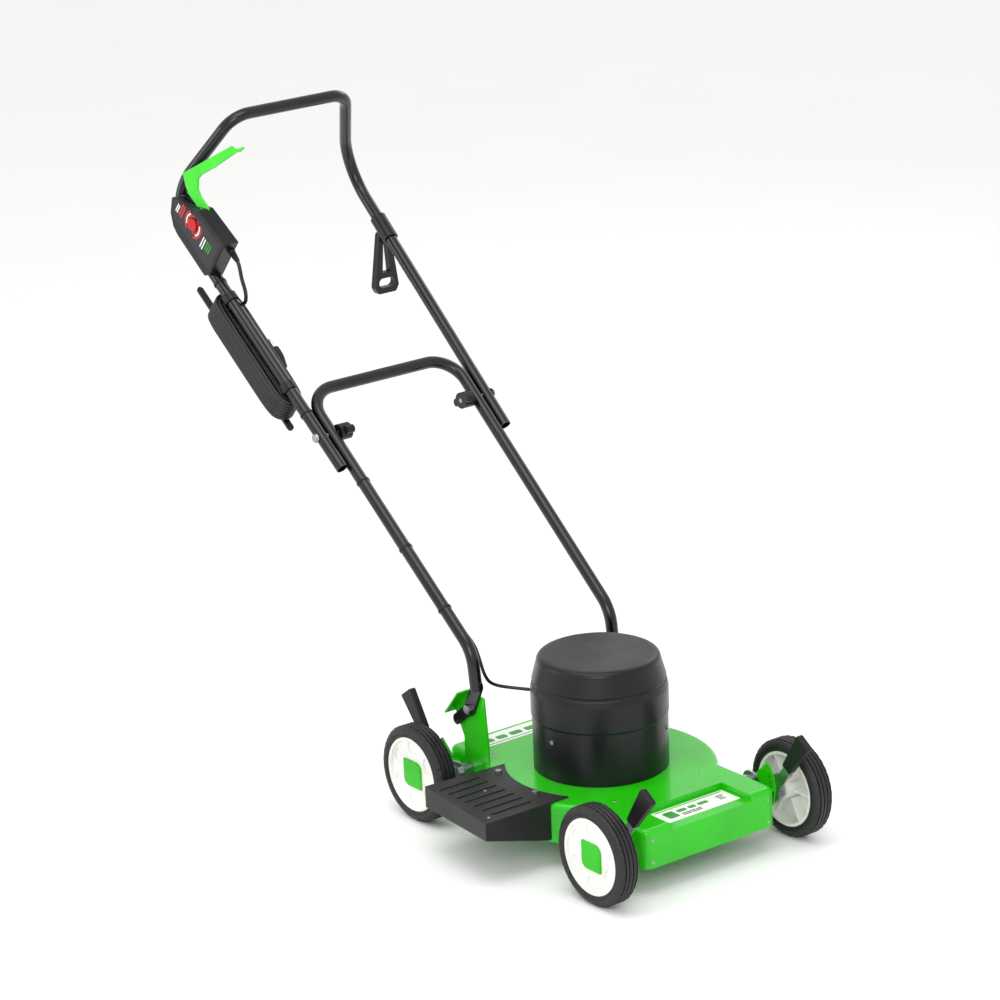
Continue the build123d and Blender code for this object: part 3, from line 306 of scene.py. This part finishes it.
CAD_FINISHES = {
    deck_green: ("deck_shell", "chamber_baffles", "handle_brackets", "notch_quadrants"),
    tube_black: ("lower_handle", "upper_handle"),
    abs_black: ("motor_cover", "switch_housing", "switch_block", "cord_guide", "cord_horns",
                "wing_knob_right", "wing_knob_left"),
    chute_plastic: ("discharge_chute",),
    grip_plastic: tuple(f"lever_grip_{end}_{side}" for end in AXLES for side in ("right", "left")),
    fan_plastic: ("cooling_fan",),
    rim_plastic: tuple(f"rim_{end}_{side}" for end in AXLES for side in ("right", "left")),
    cap_plastic: tuple(f"hub_cap_{end}_{side}" for end in AXLES for side in ("right", "left")),
    lever_plastic: ("switch_lever",),
    button_plastic: ("lock_button",),
    zinc: ("arm_pivot_bolts", "chute_bolts", "bracket_bolts", "knob_bolts", "cover_screws",
           "blade_bolt", "lever_pin",
           *(f"height_arm_{end}_{side}" for end in AXLES for side in ("right", "left"))),
    bearing_steel: ("rotor_shaft", "shaft_bearings"),
    cast_alloy: ("motor_base_shield", "motor_top_shield", "run_capacitor", "blade_adapter"),
    blade_metal: ("cutting_blade",),
    laminations: ("stator_core", "rotor_core"),
    copper: ("stator_windings",),
}


def finish_cad_nodes():
    """Gives every carried-over solid its finish."""
    for material, names in CAD_FINISHES.items():
        for name in names:
            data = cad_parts[name].data
            data.materials.clear()
            data.materials.append(material)


# ---------------------------------------------------------------- mesh helpers
def mesh_object(name, build, material, smooth_angle=35.0):
    """An object whose mesh a function fills in, with faces outwards and soft edges shaded smooth."""
    data = bpy.data.meshes.new(name)
    shape = bmesh.new()
    build(shape)
    bmesh.ops.remove_doubles(shape, verts=shape.verts, dist=0.000005)
    bmesh.ops.recalc_face_normals(shape, faces=shape.faces)
    shape.to_mesh(data)
    shape.free()
    data.materials.append(material)
    data.shade_smooth()
    data.set_sharp_from_angle(angle=math.radians(smooth_angle))
    made = bpy.data.objects.new(name, data)
    bpy.context.collection.objects.link(made)
    return made


def plane_at(origin, along, facing):
    """A matrix whose X runs along and whose Z faces a direction, at an origin."""
    z = Vector(facing).normalized()
    x = (Vector(along) - z * Vector(along).dot(z)).normalized()
    turned = Matrix((x, z.cross(x), z)).transposed().to_4x4()
    turned.translation = origin
    return turned


def add_plate(shape, place, outline, thickness, bevel=0.0002):
    """A thin plate with softened upper edges: its outline lies in the place's XY plane."""
    layers = []
    middle = sum((Vector(p) for p in outline), Vector((0, 0))) / len(outline)
    for level, inset in ((0.0, 0.0), (thickness - bevel, 0.0), (thickness, bevel)):
        ring = []
        for point in outline:
            flat = Vector(point)
            inward = (middle - flat).normalized() * inset
            ring.append(shape.verts.new(place @ Vector((*(flat + inward), level))))
        layers.append(ring)
    count = len(outline)
    for lower, upper in zip(layers, layers[1:]):
        for i in range(count):
            j = (i + 1) % count
            shape.faces.new((lower[i], lower[j], upper[j], upper[i]))
    shape.faces.new(layers[-1])
    shape.faces.new(layers[0][::-1])


def rounded_box(length, width, radius, centre=(0.0, 0.0), steps=5):
    """The outline of a rectangle with round corners."""
    points = []
    for corner, (sx, sy) in enumerate(((1, 1), (-1, 1), (-1, -1), (1, -1))):
        for i in range(steps + 1):
            angle = math.pi / 2 * (corner + i / steps)
            points.append((centre[0] + sx * (length / 2 - radius) + radius * math.cos(angle),
                           centre[1] + sy * (width / 2 - radius) + radius * math.sin(angle)))
    return points


def arc_band(inner, outer, start, end, steps=16):
    """The outline of a piece of a ring between two angles in degrees, as short plates' corners."""
    angles = [math.radians(start + (end - start) * i / steps) for i in range(steps + 1)]
    return [[(radius * math.cos(a), radius * math.sin(a)) for radius, a in
             ((inner, one), (outer, one), (outer, two), (inner, two))]
            for one, two in zip(angles, angles[1:])]


def add_lathe(shape, place, profile, segments=96, groove=None):
    """A closed turned ring: the profile's points are (radius, height along the place's Z).
    groove, if given, changes a point's radius by its angle."""
    rings = []
    for i in range(segments):
        angle = 2 * math.pi * i / segments
        ring = []
        for j, (radius, height) in enumerate(profile):
            r = radius - (groove(i, j, radius, height) if groove else 0.0)
            ring.append(shape.verts.new(place @ Vector((r * math.cos(angle), r * math.sin(angle), height))))
        rings.append(ring)
    count = len(profile)
    for i in range(segments):
        here, onward = rings[i], rings[(i + 1) % segments]
        for j in range(count):
            k = (j + 1) % count
            shape.faces.new((here[j], onward[j], onward[k], here[k]))


def spline(name, points, diameter, material):
    """A cord as one smooth curve through the weights of its route's points."""
    curve = bpy.data.curves.new(name, "CURVE")
    curve.dimensions = "3D"
    curve.bevel_depth = diameter / 2
    curve.bevel_resolution = 5
    curve.use_fill_caps = True
    line = curve.splines.new("NURBS")
    line.points.add(len(points) - 1)
    for slot, point in zip(line.points, points):
        slot.co = (*point, 1.0)
    line.order_u = 3
    line.use_endpoint_u = True
    line.resolution_u = 8
    curve.materials.append(material)
    made = bpy.data.objects.new(name, curve)
    bpy.context.collection.objects.link(made)
    return made


def as_mesh(curve_object):
    """The curve's tube as a plain mesh."""
    name = curve_object.name
    evaluated = curve_object.evaluated_get(bpy.context.evaluated_depsgraph_get())
    data = bpy.data.meshes.new_from_object(evaluated)
    bpy.data.objects.remove(curve_object)
    data.shade_smooth()
    made = bpy.data.objects.new(name, data)
    bpy.context.collection.objects.link(made)
    return made


def smooth_path(points):
    """The tube's centre line: points along each bend that a cord's route weighs."""
    found = [points[0]]
    for before, here, after in zip(points, points[1:], points[2:]):
        start = before if before is points[0] else (before + here) / 2
        end = after if after is points[-1] else (here + after) / 2
        for i in range(1, 7):
            t = i / 6
            found.append(start * (1 - t) ** 2 + here * 2 * t * (1 - t) + end * t ** 2)
    return found


# ---------------------------------------------------------------- wheels
TREAD_GROOVES = (-0.0115, -0.004, 0.004, 0.0115)
GROOVE_WIDTH, GROOVE_DEPTH = 0.0016, 0.0022
GROOVE_FLARE = 0.0003       # how much wider a groove is at its mouth, on each side
SHOULDER_CUT = 0.0011       # depth of the short cuts across the shoulders
CUT_EVERY = 5               # steps of the tyre's round from one cut to the next


def tyre_profile():
    """Half section of the tyre, from one bead over the tread to the other."""
    half = WHEEL_WIDTH / 2
    crown = WHEEL_RADIUS - 0.0001
    side = [(RIM_RADIUS + 0.0002, half - 0.0045), (RIM_RADIUS + 0.001, half - 0.0016),
            (RIM_RADIUS + 0.0028, half - 0.0003), (0.0712, half - 0.0002), (0.0718, half - 0.001),
            (0.0727, half - 0.001), (0.0733, half - 0.0002), (0.0765, half - 0.0004), (0.0795, half - 0.0014),
            (0.0828, half - 0.0034), (0.0852, half - 0.0058), (0.0866, half - 0.0082)]
    tread = []
    for middle in reversed(TREAD_GROOVES):
        tread += [(crown, middle + GROOVE_WIDTH / 2 + GROOVE_FLARE),
                  (crown - GROOVE_DEPTH, middle + GROOVE_WIDTH / 2),
                  (crown - GROOVE_DEPTH, middle - GROOVE_WIDTH / 2),
                  (crown, middle - GROOVE_WIDTH / 2 - GROOVE_FLARE)]
    return side + tread + [(r, -h) for r, h in reversed(side)]


def make_tyres():
    """Ribbed tyres: four grooves run round the crown, and short cuts cross the shoulders."""
    profile = tyre_profile()
    shoulder = [j for j, (r, h) in enumerate(profile) if abs(h) > 0.0125 and r > 0.081]

    def cuts(i, j, radius, height):
        return SHOULDER_CUT if j in shoulder and i % CUT_EVERY == 0 else 0.0

    for end, axle_x in AXLES.items():
        for side, sign in (("right", -1), ("left", 1)):
            place = plane_at(Vector((axle_x, sign * HALF_TRACK, WHEEL_RADIUS)), (1, 0, 0), (0, sign, 0))
            tyre = mesh_object(f"ribbed_tyre_{end}_{side}",
                               lambda shape: add_lathe(shape, place, profile, 180, cuts), rubber, 28.0)
            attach(tyre, f"wheel_{end}_{side}")
            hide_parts(f"tyre_{end}_{side}")


# ---------------------------------------------------------------- labels
def label_pieces(name, body, place, pieces):
    """Thin printed plates of several inks on one surface; each joins the others of its ink."""
    for ink, (material, outlines, lift) in pieces.items():
        def fill(shape):
            for outline in outlines:
                add_plate(shape, place @ Matrix.Translation((0, 0, lift)), outline, 0.00025, 0.00008)
        plate = mesh_object(f"{name}_{ink}", fill, material, 30.0)
        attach(plate, body)


def bars(rows, left, height, pitch, top):
    """Plain bars, one row each: a row lists its pieces' lengths, with a bar's height between them."""
    found = []
    for row, lengths in enumerate(rows):
        x = left
        for length in lengths:
            found.append(rounded_box(length, height, height * 0.3, (x + length / 2, top - row * pitch), 3))
            x += length + height * 0.5
    return found


def deck_labels():
    """A strip on the front ledge and a plate behind the motor, with plain bars in place of print."""
    front = plane_at(Vector((0.2425, 0.006, POCKET_FLOOR + 0.00005)), (0, 1, 0), (0, 0, 1))
    label_pieces("front_label", "chassis", front, {
        "film": (label_white, [rounded_box(0.158, 0.050, 0.003)], 0.0),
        "green": (label_green, [rounded_box(0.146, 0.0022, 0.0008, (0, 0.0205), 3),
                                rounded_box(0.022, 0.026, 0.004, (-0.055, -0.001)),
                                *bars([(0.020, 0.016, 0.022)], -0.038, 0.010, 0.014, 0.004)], 0.0003),
        "dark": (label_dark, [*bars([(0.030, 0.012), (0.018, 0.022)], -0.038, 0.0028, 0.0055, -0.009),
                              *bars([(0.016,), (0.012,), (0.014,)], 0.050, 0.003, 0.0065, 0.008)], 0.0003)})
    rear = plane_at(Vector((-0.212, -0.035, DECK_TOP + 0.00005)), (0, 1, 0), (0, 0, 1))
    label_pieces("rear_label", "chassis", rear, {
        "film": (label_white, [rounded_box(0.170, 0.046, 0.010)], 0.0),
        "green": (label_green, [*bars([(0.030, 0.022, 0.026, 0.030)], -0.068, 0.015, 0.02, 0.0)], 0.0003),
        "dark": (label_dark, bars([(0.100, 0.020)], -0.066, 0.002, 0.004, -0.016), 0.0003)})


def switch_label():
    """The black panel on the switch box: a broken ring round the stop button, and bars above and below."""
    flat = plane_at(leg_spot(0.465, BOX_OUTER + 0.00005, 0.050), leg_run, leg_out)
    sign = 1 if (flat.to_3x3() @ Vector((0, 1, 0))).dot(leg_rise) > 0 else -1

    def proud(points):
        return [(x, y * sign) for x, y in points]

    panel = [(-0.078, -0.036), (0.050, -0.036), (0.062, -0.020), (0.066, -0.006), (0.058, 0.002),
             (0.034, 0.008), (0.018, 0.012), (0.002, 0.026), (-0.078, 0.030)]
    label_pieces("switch_panel", "upper_frame", flat, {
        "film": (panel_black, [proud(panel)], 0.0),
        "red": (label_red, [proud(p) for p in (*arc_band(0.0150, 0.0178, -75, 75, 16),
                                               *arc_band(0.0150, 0.0178, 105, 255, 16),
                                               *arc_band(0.0222, 0.0262, -62, 40, 12),
                                               *arc_band(0.0222, 0.0262, 140, 242, 12))]
                + [proud(rounded_box(0.004, 0.030, 0.001, (x, -0.004), 3)) for x in (0.034, 0.040)], 0.0003),
        "white": (label_white, [proud(p) for p in (*arc_band(0.0185, 0.0214, -40, 40, 12),
                                                   *arc_band(0.0185, 0.0214, 140, 220, 12))]
                  + [proud(rounded_box(0.0026, 0.019, 0.0008, (x, -0.010), 3)) for x in (0.047, 0.0515)]
                  + [proud(rounded_box(0.0028, 0.026, 0.0008, (x, -0.006), 3)) for x in (-0.036, -0.042)],
                  0.0006),
        "green": (label_green, [proud(rounded_box(0.0032, 0.022, 0.0008, (x, -0.002), 3))
                                for x in (-0.049, -0.0545, -0.060)], 0.0003)})


# ---------------------------------------------------------------- small repeated hardware
def fastener_tree(name, material):
    """Sets a small domed head in the middle of every face, turned to that face's own normal."""
    tree = bpy.data.node_groups.new(name, "GeometryNodeTree")
    sockets = tree.interface
    sockets.new_socket("Geometry", in_out="INPUT", socket_type="NodeSocketGeometry")
    radius = sockets.new_socket("Head radius", in_out="INPUT", socket_type="NodeSocketFloat")
    height = sockets.new_socket("Head height", in_out="INPUT", socket_type="NodeSocketFloat")
    sockets.new_socket("Geometry", in_out="OUTPUT", socket_type="NodeSocketGeometry")
    entry = put(tree, "NodeGroupInput")
    dome = put(tree, "GeometryNodeMeshUVSphere", {"Segments": 20, "Rings": 12, "Radius": 1.0})
    size = put(tree, "ShaderNodeCombineXYZ", {"X": entry.outputs["Head radius"],
                                              "Y": entry.outputs["Head radius"],
                                              "Z": entry.outputs["Head height"]})
    sized = put(tree, "GeometryNodeTransform", {"Geometry": dome.outputs["Mesh"], "Scale": size.outputs[0]})
    kept = put(tree, "GeometryNodeCaptureAttribute", {"Geometry": entry.outputs["Geometry"]}, domain="FACE")
    kept.capture_items.new("VECTOR", "Facing")
    tree.links.new(put(tree, "GeometryNodeInputNormal").outputs[0], kept.inputs["Facing"])
    centres = put(tree, "GeometryNodeMeshToPoints", {"Mesh": kept.outputs["Geometry"]}, mode="FACES")
    facing = put(tree, "FunctionNodeAlignRotationToVector", {"Vector": kept.outputs["Facing"]}, axis="Z")
    heads = put(tree, "GeometryNodeInstanceOnPoints", {"Points": centres.outputs["Points"],
                                                       "Instance": sized.outputs[0],
                                                       "Rotation": facing.outputs[0]})
    real = put(tree, "GeometryNodeRealizeInstances", {"Geometry": heads.outputs[0]})
    coated = put(tree, "GeometryNodeSetMaterial", {"Geometry": real.outputs[0], "Material": material})
    smooth = put(tree, "GeometryNodeSetShadeSmooth", {"Geometry": coated.outputs[0]})
    put(tree, "NodeGroupOutput", {"Geometry": smooth.outputs[0]})
    return tree, radius.identifier, height.identifier


SEED_RADIUS = 0.0002        # of the small triangle that marks a head's place


def domed_heads(name, body, material, places, head_radius, head_height):
    """Round heads at places, each a point and the way it faces."""
    seed = bpy.data.meshes.new(name + "_places")
    shape = bmesh.new()
    for point, facing in places:
        at = plane_at(Vector(point), (0.31, 0.95, 0.1), facing)
        corners = [Vector((SEED_RADIUS * math.cos(a), SEED_RADIUS * math.sin(a), 0))
                   for a in (0, 2 * math.pi / 3, 4 * math.pi / 3)]
        shape.faces.new([shape.verts.new(at @ corner) for corner in corners])
    shape.to_mesh(seed)
    shape.free()
    holder = bpy.data.objects.new(name + "_places", seed)
    bpy.context.collection.objects.link(holder)
    tree, radius_id, height_id = fastener_tree(name + "_tree", material)
    modifier = holder.modifiers.new("heads", "NODES")
    modifier.node_group = tree
    modifier[radius_id] = head_radius
    modifier[height_id] = head_height
    bpy.context.view_layer.update()
    evaluated = holder.evaluated_get(bpy.context.evaluated_depsgraph_get())
    data = bpy.data.meshes.new_from_object(evaluated)
    made = bpy.data.objects.new(name, data)
    bpy.context.collection.objects.link(made)
    bpy.data.objects.remove(holder)
    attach(made, body)


FRONT_FACE_X = 0.2895
CHUTE_TOP = 0.121


def deck_rivets():
    """Rivets through the deck's front edge and top, and screws in the chute's plate."""
    forward, upward = (1, 0, 0), (0, 0, 1)
    places = [((FRONT_FACE_X, y, z), forward) for z in (0.098, 0.058) for y in (-0.128, 0.128)]
    places += [((x, side * y, DECK_TOP), upward)
               for x, y in ((0.152, 0.096), (-0.160, 0.110)) for side in (-1, 1)]
    domed_heads("deck_rivets", "chassis", zinc, places, 0.0032, 0.0013)
    chute = [((x, y, CHUTE_TOP), upward) for x, y in ((-0.030, -0.232), (0.068, -0.300))]
    domed_heads("chute_screws", "chassis", zinc, chute, 0.0028, 0.0012)


# ---------------------------------------------------------------- cords
GLAND_TOP = 0.380
CORD_ROUTE = [(0.368, -0.010, 0.066), (0.354, -0.010, 0.066), (0.341, -0.011, 0.054),
              (0.331, -0.014, 0.040), (0.319, -0.018, 0.028), (0.309, -0.020, 0.014),
              (0.306, -0.020, 0.000), (0.306, -0.020, -0.0145)]
HANK_LAYERS = (0.0108, 0.0180, 0.0252)      # radius of the turns' ends
HANK_ROWS = 7
HANK_STRAIGHT = 0.045       # half of the part of a run that lies between its two middle points
HANK_SLACK = 0.0004         # how far a run wanders sideways
PLUG_STATION = 0.200
PLUG_LENGTH, PLUG_WIDTH, PLUG_THICKNESS = 0.044, 0.026, 0.020


def hank_point(along, across, depth):
    """A point in the hank: along the leg from its middle, outwards, and behind its near face."""
    return leg_spot(HANK_START + HANK_LENGTH / 2 + along, across - HANK_SHIFT, -HANK_OFFSET - depth)


def hank_turns():
    """The cord's route round the two posts: rows down the hank's depth, in three layers outwards."""
    half_run = HANK_LENGTH / 2 - HANK_WIDTH / 2 + 0.0008
    pitch = (HANK_DEPTH - CORD_DIAMETER - 0.001) / (HANK_ROWS - 1)
    laid = []
    for layer, radius in enumerate(HANK_LAYERS):
        rows = range(HANK_ROWS) if layer % 2 == 0 else reversed(range(HANK_ROWS))
        for row in rows:
            laid.append((radius, CORD_DIAMETER / 2 + 0.0005 + row * pitch))
    laid.append(laid[-1])
    points = []
    for turn, ((radius, depth), (radius_next, depth_next)) in enumerate(zip(laid, laid[1:])):
        stops = [(half_run, math.radians(a)) for a in (-90, -45, 0, 45, 90)]
        stops += [(HANK_STRAIGHT, math.radians(90)), (-HANK_STRAIGHT, math.radians(90))]
        stops += [(-half_run, math.radians(a)) for a in (90, 135, 180, 225, 270)]
        stops += [(-HANK_STRAIGHT, math.radians(270)), (HANK_STRAIGHT, math.radians(270))]
        for step, (middle, angle) in enumerate(stops):
            share = step / len(stops)
            r = radius + (radius_next - radius) * share
            d = depth + (depth_next - depth) * share
            loose = HANK_SLACK * math.sin(turn * 2.4 + step * 1.7)
            if abs(middle) < half_run:
                points.append(hank_point(middle, r * math.sin(angle) + loose, d))
            else:
                points.append(hank_point(middle + r * math.cos(angle), r * math.sin(angle), d))
    return points[:-2]


def hank_tail():
    """From the last turn to the plug, which lies at the hank's inner side."""
    return [leg_spot(0.128, -0.0350, -0.0585), leg_spot(0.142, -0.0395, -0.052),
            leg_spot(0.156, -0.0440, -0.044), leg_spot(0.168, -0.0450, -0.040),
            leg_spot(0.182, -0.0450, -0.0395)]


def route_length(points):
    """The length of the smooth curve that the points weigh: each bend cuts its corner's two half runs."""
    total = (points[1] - points[0]).length / 2 + (points[-1] - points[-2]).length / 2
    for before, here, after in zip(points, points[1:], points[2:]):
        start, end = (before + here) / 2, (here + after) / 2
        last = start
        for i in range(1, 9):
            t = i / 8
            spot = start * (1 - t) ** 2 + here * 2 * t * (1 - t) + end * t ** 2
            total += (spot - last).length
            last = spot
    return total


def make_plug():
    """A moulded two-pin plug: a body that narrows to a tail, and two round pins."""
    centre = leg_spot(PLUG_STATION, -HANK_SHIFT - HANK_WIDTH / 2 - PLUG_THICKNESS / 2,
                      -HANK_OFFSET - HANK_DEPTH / 2)
    place = plane_at(centre, leg_rise, leg_run)

    def body(shape):
        sections = ((-0.5, 0.42, 0.50), (-0.46, 0.50, 0.58), (-0.30, 0.60, 0.70), (-0.1, 0.86, 0.86),
                    (0.10, 0.96, 0.94), (0.38, 0.98, 0.96), (0.47, 0.94, 0.90), (0.50, 0.84, 0.78))
        rings = []
        for along, wide, thick in sections:
            ring = []
            for i in range(28):
                a = 2 * math.pi * i / 28
                cx = math.copysign(abs(math.cos(a)) ** 0.45, math.cos(a)) * PLUG_WIDTH / 2 * wide
                cy = math.copysign(abs(math.sin(a)) ** 0.45, math.sin(a)) * PLUG_THICKNESS / 2 * thick
                ring.append(shape.verts.new(place @ Vector((cx, cy, along * PLUG_LENGTH))))
            rings.append(ring)
        for lower, upper in zip(rings, rings[1:]):
            for i in range(28):
                j = (i + 1) % 28
                shape.faces.new((lower[i], lower[j], upper[j], upper[i]))
        shape.faces.new(rings[-1])
        shape.faces.new(rings[0][::-1])

    def pins(shape):
        for side in (-1, 1):
            at = place @ Matrix.Translation((side * 0.0095, 0, PLUG_LENGTH / 2 - 0.001))
            add_lathe(shape, at, [(0.00002, 0.0), (0.0024, 0.0), (0.0024, 0.0178), (0.0021, 0.0194),
                                  (0.0014, 0.0199), (0.00002, 0.01995)], 20)

    body_piece = mesh_object("plug_body", body, grip_plastic, 50.0)
    pin_piece = mesh_object("plug_pins", pins, bearing_steel)
    for piece in (body_piece, pin_piece):
        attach(piece, "upper_frame")
        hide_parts("cord_plug")
    return body_piece, pin_piece


def make_strain_relief():
    """The cord's tapered, ribbed boot where it leaves the switch box."""
    place = plane_at(leg_spot(GLAND_TOP, -0.010, 0.066), leg_rise, -leg_run)
    profile = [(0.0001, 0.0), (0.0070, 0.0), (0.0070, 0.0022)]
    for i in range(5):
        low = 0.0028 + i * 0.0042
        radius = 0.0066 - i * 0.00048
        profile += [(radius, low), (radius, low + 0.0018), (radius - 0.0011, low + 0.0023),
                    (radius - 0.0011, low + 0.0034)]
    profile += [(0.0038, 0.0240), (0.0001, 0.0240)]
    boot = mesh_object("cord_strain_relief", lambda shape: add_lathe(shape, place, profile, 36), grip_plastic)
    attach(boot, "upper_frame")
    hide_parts("cord_gland")


def mains_cord():
    """The mains cord: out of the switch box, down into the hank, round the posts, and to its plug."""
    lead = [leg_spot(*spot) for spot in CORD_ROUTE]
    route = lead[:-1] + hank_turns() + hank_tail()
    cord = spline("mains_cord", route, CORD_DIAMETER, sheath)
    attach(cord, "upper_frame")
    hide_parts("cord_hank", "cord_lead")
    plug = make_plug()
    round(route_length(route), 3)


LEAD_ENTRY_ANGLE, LEAD_ENTRY_RADIUS, LEAD_ENTRY_HEIGHT = math.radians(-148), 0.112, 0.240
LEAD_APPROACH_RADIUS = 0.150
LEAD_OFFSET = (HANDLE_TUBE / 2 + LEAD_DIAMETER / 2 + 0.0004) * math.sin(math.radians(45))


def lead_spot(station, y):
    """A point of the motor lead, under and inside the leg whose axis is at y."""
    return leg_point(station, LEAD_OFFSET - y, -LEAD_OFFSET)


def staggered(points):
    """Every second point a little off the line, as a clipped lead lies."""
    return [Vector((p.x, p.y + 0.0012 * (i % 2), p.z - 0.0008 * (i % 2))) for i, p in enumerate(points)]


def motor_leads():
    """The lead from the switch to the motor, clipped under the right legs, with a loop at the fold."""
    upper = staggered([lead_spot(s, upper_leg_y(s)) for s in
                       (0.380, 0.325, 0.270, 0.215, 0.160, 0.105, 0.050, 0.008)])
    entry = Vector((math.cos(LEAD_ENTRY_ANGLE), math.sin(LEAD_ENTRY_ANGLE), 0))
    entry_level = Vector((0, 0, LEAD_ENTRY_HEIGHT))
    junction = upper[-1]
    lower = [junction, junction + (junction - upper[-2]).normalized() * 0.014,
             leg_point(-0.026, -0.163, -0.017), leg_point(-0.050, -0.151, -0.015)]
    lower += staggered([lead_spot(s, lower_leg_y(s)) for s in
                        (-0.080, -0.130, -0.185, -0.240, -0.295, -0.350, -0.405)])
    lower += [Vector(p) for p in ((-0.172, -0.137, 0.328), (-0.158, -0.136, 0.300), (-0.149, -0.134, 0.272),
                                  (-0.150, -0.118, 0.250))]
    lower += [entry * LEAD_APPROACH_RADIUS + entry_level, entry * LEAD_ENTRY_RADIUS + entry_level]
    upper_lead = spline("clipped_lead_upper", upper, LEAD_DIAMETER, sheath)
    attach(upper_lead, "upper_frame")
    lower_lead = as_mesh(spline("clipped_lead_lower", lower, LEAD_DIAMETER, sheath))
    lower_path = [tuple(point) for point in smooth_path(lower)]
    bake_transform(lower_lead)
    for lead, name, route, path in ((upper_lead, "motor_lead_upper", upper, None),
                                    (lower_lead, "motor_lead_lower", lower, lower_path)):
        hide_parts(name)
        round(route_length(route), 3)


def make_ties():
    """Narrow nylon ties that hold the lead against the tubes."""
    upper_places = [(s, upper_leg_y(s)) for s in (0.362, 0.052)]
    lower_places = [(s, lower_leg_y(s)) for s in (-0.110, -0.260, -0.395)]
    for body, places in (("upper_frame", upper_places), ("chassis", lower_places)):
        def fill(shape):
            for station, y in places:
                tube = leg_point(station, -y)
                lead = lead_spot(station, y)
                run = (leg_point(station + 0.01, -y) - tube).normalized()
                reach = lead - tube
                across = reach.normalized()
                place = plane_at(tube, across, run)
                ring = []
                for i in range(40):
                    a = 2 * math.pi * i / 40
                    around = math.cos(a)
                    bulge = max(0.0, around) ** 3 * (reach.length + LEAD_DIAMETER / 2 - HANDLE_TUBE / 2)
                    ring.append((HANDLE_TUBE / 2 + 0.0002 + bulge, a))
                loops = []
                for height, lift in ((-0.0021, 0.0), (-0.0019, 0.0011), (0.0019, 0.0011), (0.0021, 0.0)):
                    loops.append([shape.verts.new(place @ Vector(((r + lift) * math.cos(a),
                                                                  (r + lift) * math.sin(a), height)))
                                  for r, a in ring])
                for k in range(4):
                    lower, upper = loops[k], loops[(k + 1) % 4]
                    for i in range(40):
                        j = (i + 1) % 40
                        shape.faces.new((lower[i], lower[j], upper[j], upper[i]))
        ties = mesh_object(f"lead_ties_{body}", fill, grip_plastic)
        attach(ties, body)


# ---------------------------------------------------------------- studio
FLOOR_HALF, FLOOR_STEPS = 30, 24
LIGHTS_AIM = Vector((-0.2, 0, 0.35))
# each soft box: its name, its place, its size in metres and its power in watts
SOFT_BOXES = (("top_box", (0.4, -0.8, 3.4), 2.6, 36.0), ("key_box", (2.6, -2.4, 2.2), 1.8, 36.0),
              ("side_box", (-2.2, -3.0, 1.6), 1.4, 14.0), ("back_box", (-1.5, 3.0, 2.4), 1.8, 12.0))


def studio():
    """White paper floor, a white surround, and soft boxes above, in front, at the side and behind."""
    def sheet(shape):
        levels = [-FLOOR_HALF + 2 * FLOOR_HALF * i / FLOOR_STEPS for i in range(FLOOR_STEPS + 1)]
        rows = [[shape.verts.new((x, y, 0.0)) for y in levels] for x in levels]
        for a, b in zip(rows, rows[1:]):
            for j in range(FLOOR_STEPS):
                shape.faces.new((a[j], b[j], b[j + 1], a[j + 1]))

    floor = mesh_object("paper_floor", sheet, studio_paper())
    world = bpy.data.worlds.new("studio_white")
    world.use_nodes = True
    background = world.node_tree.nodes["Background"]
    background.inputs["Color"].default_value = (1.0, 1.0, 1.0, 1.0)
    background.inputs["Strength"].default_value = 0.95
    bpy.context.scene.world = world
    bpy.context.scene.view_settings.view_transform = "Standard"
    for name, spot, size, power in SOFT_BOXES:
        light = bpy.data.lights.new(name, "AREA")
        light.shape = "RECTANGLE"
        light.size = size
        light.size_y = size * 0.7
        light.energy = power
        lamp = bpy.data.objects.new(name, light)
        lamp.location = spot
        lamp.rotation_mode = "QUATERNION"
        lamp.rotation_quaternion = (LIGHTS_AIM - Vector(spot)).to_track_quat("-Z", "Y")
        bpy.context.collection.objects.link(lamp)


CAMERA_TARGET = Vector((-0.3907, 0.0985, 0.4808))
CAMERA_AZIMUTH, CAMERA_ELEVATION, CAMERA_ROLL = 52.8, 18.2, -2.3
CAMERA_DISTANCE = 7.055
CAMERA_LENS = 141.6


def camera():
    """A long lens from the front right, a little above, turned about its own axis."""
    azimuth, elevation, roll = (math.radians(a) for a in (CAMERA_AZIMUTH, CAMERA_ELEVATION, CAMERA_ROLL))
    back = Vector((math.sin(azimuth) * math.cos(elevation), -math.cos(azimuth) * math.cos(elevation),
                   math.sin(elevation)))
    right = Vector((0, 0, 1)).cross(back).normalized()
    up = back.cross(right)
    side = right * math.cos(roll) + up * math.sin(roll)
    top = up * math.cos(roll) - right * math.sin(roll)
    turned = Matrix((side, top, back)).transposed().to_4x4()
    turned.translation = CAMERA_TARGET + back * CAMERA_DISTANCE
    data = bpy.data.cameras.new("studio_camera")
    data.sensor_width = 36.0
    data.lens = CAMERA_LENS
    data.clip_end = 100.0
    made = bpy.data.objects.new("studio_camera", data)
    made.matrix_world = turned
    bpy.context.collection.objects.link(made)
    bpy.context.scene.camera = made


finish_cad_nodes()
make_tyres()
deck_labels()
switch_label()
deck_rivets()
make_strain_relief()
mains_cord()
motor_leads()
make_ties()
studio()
camera()
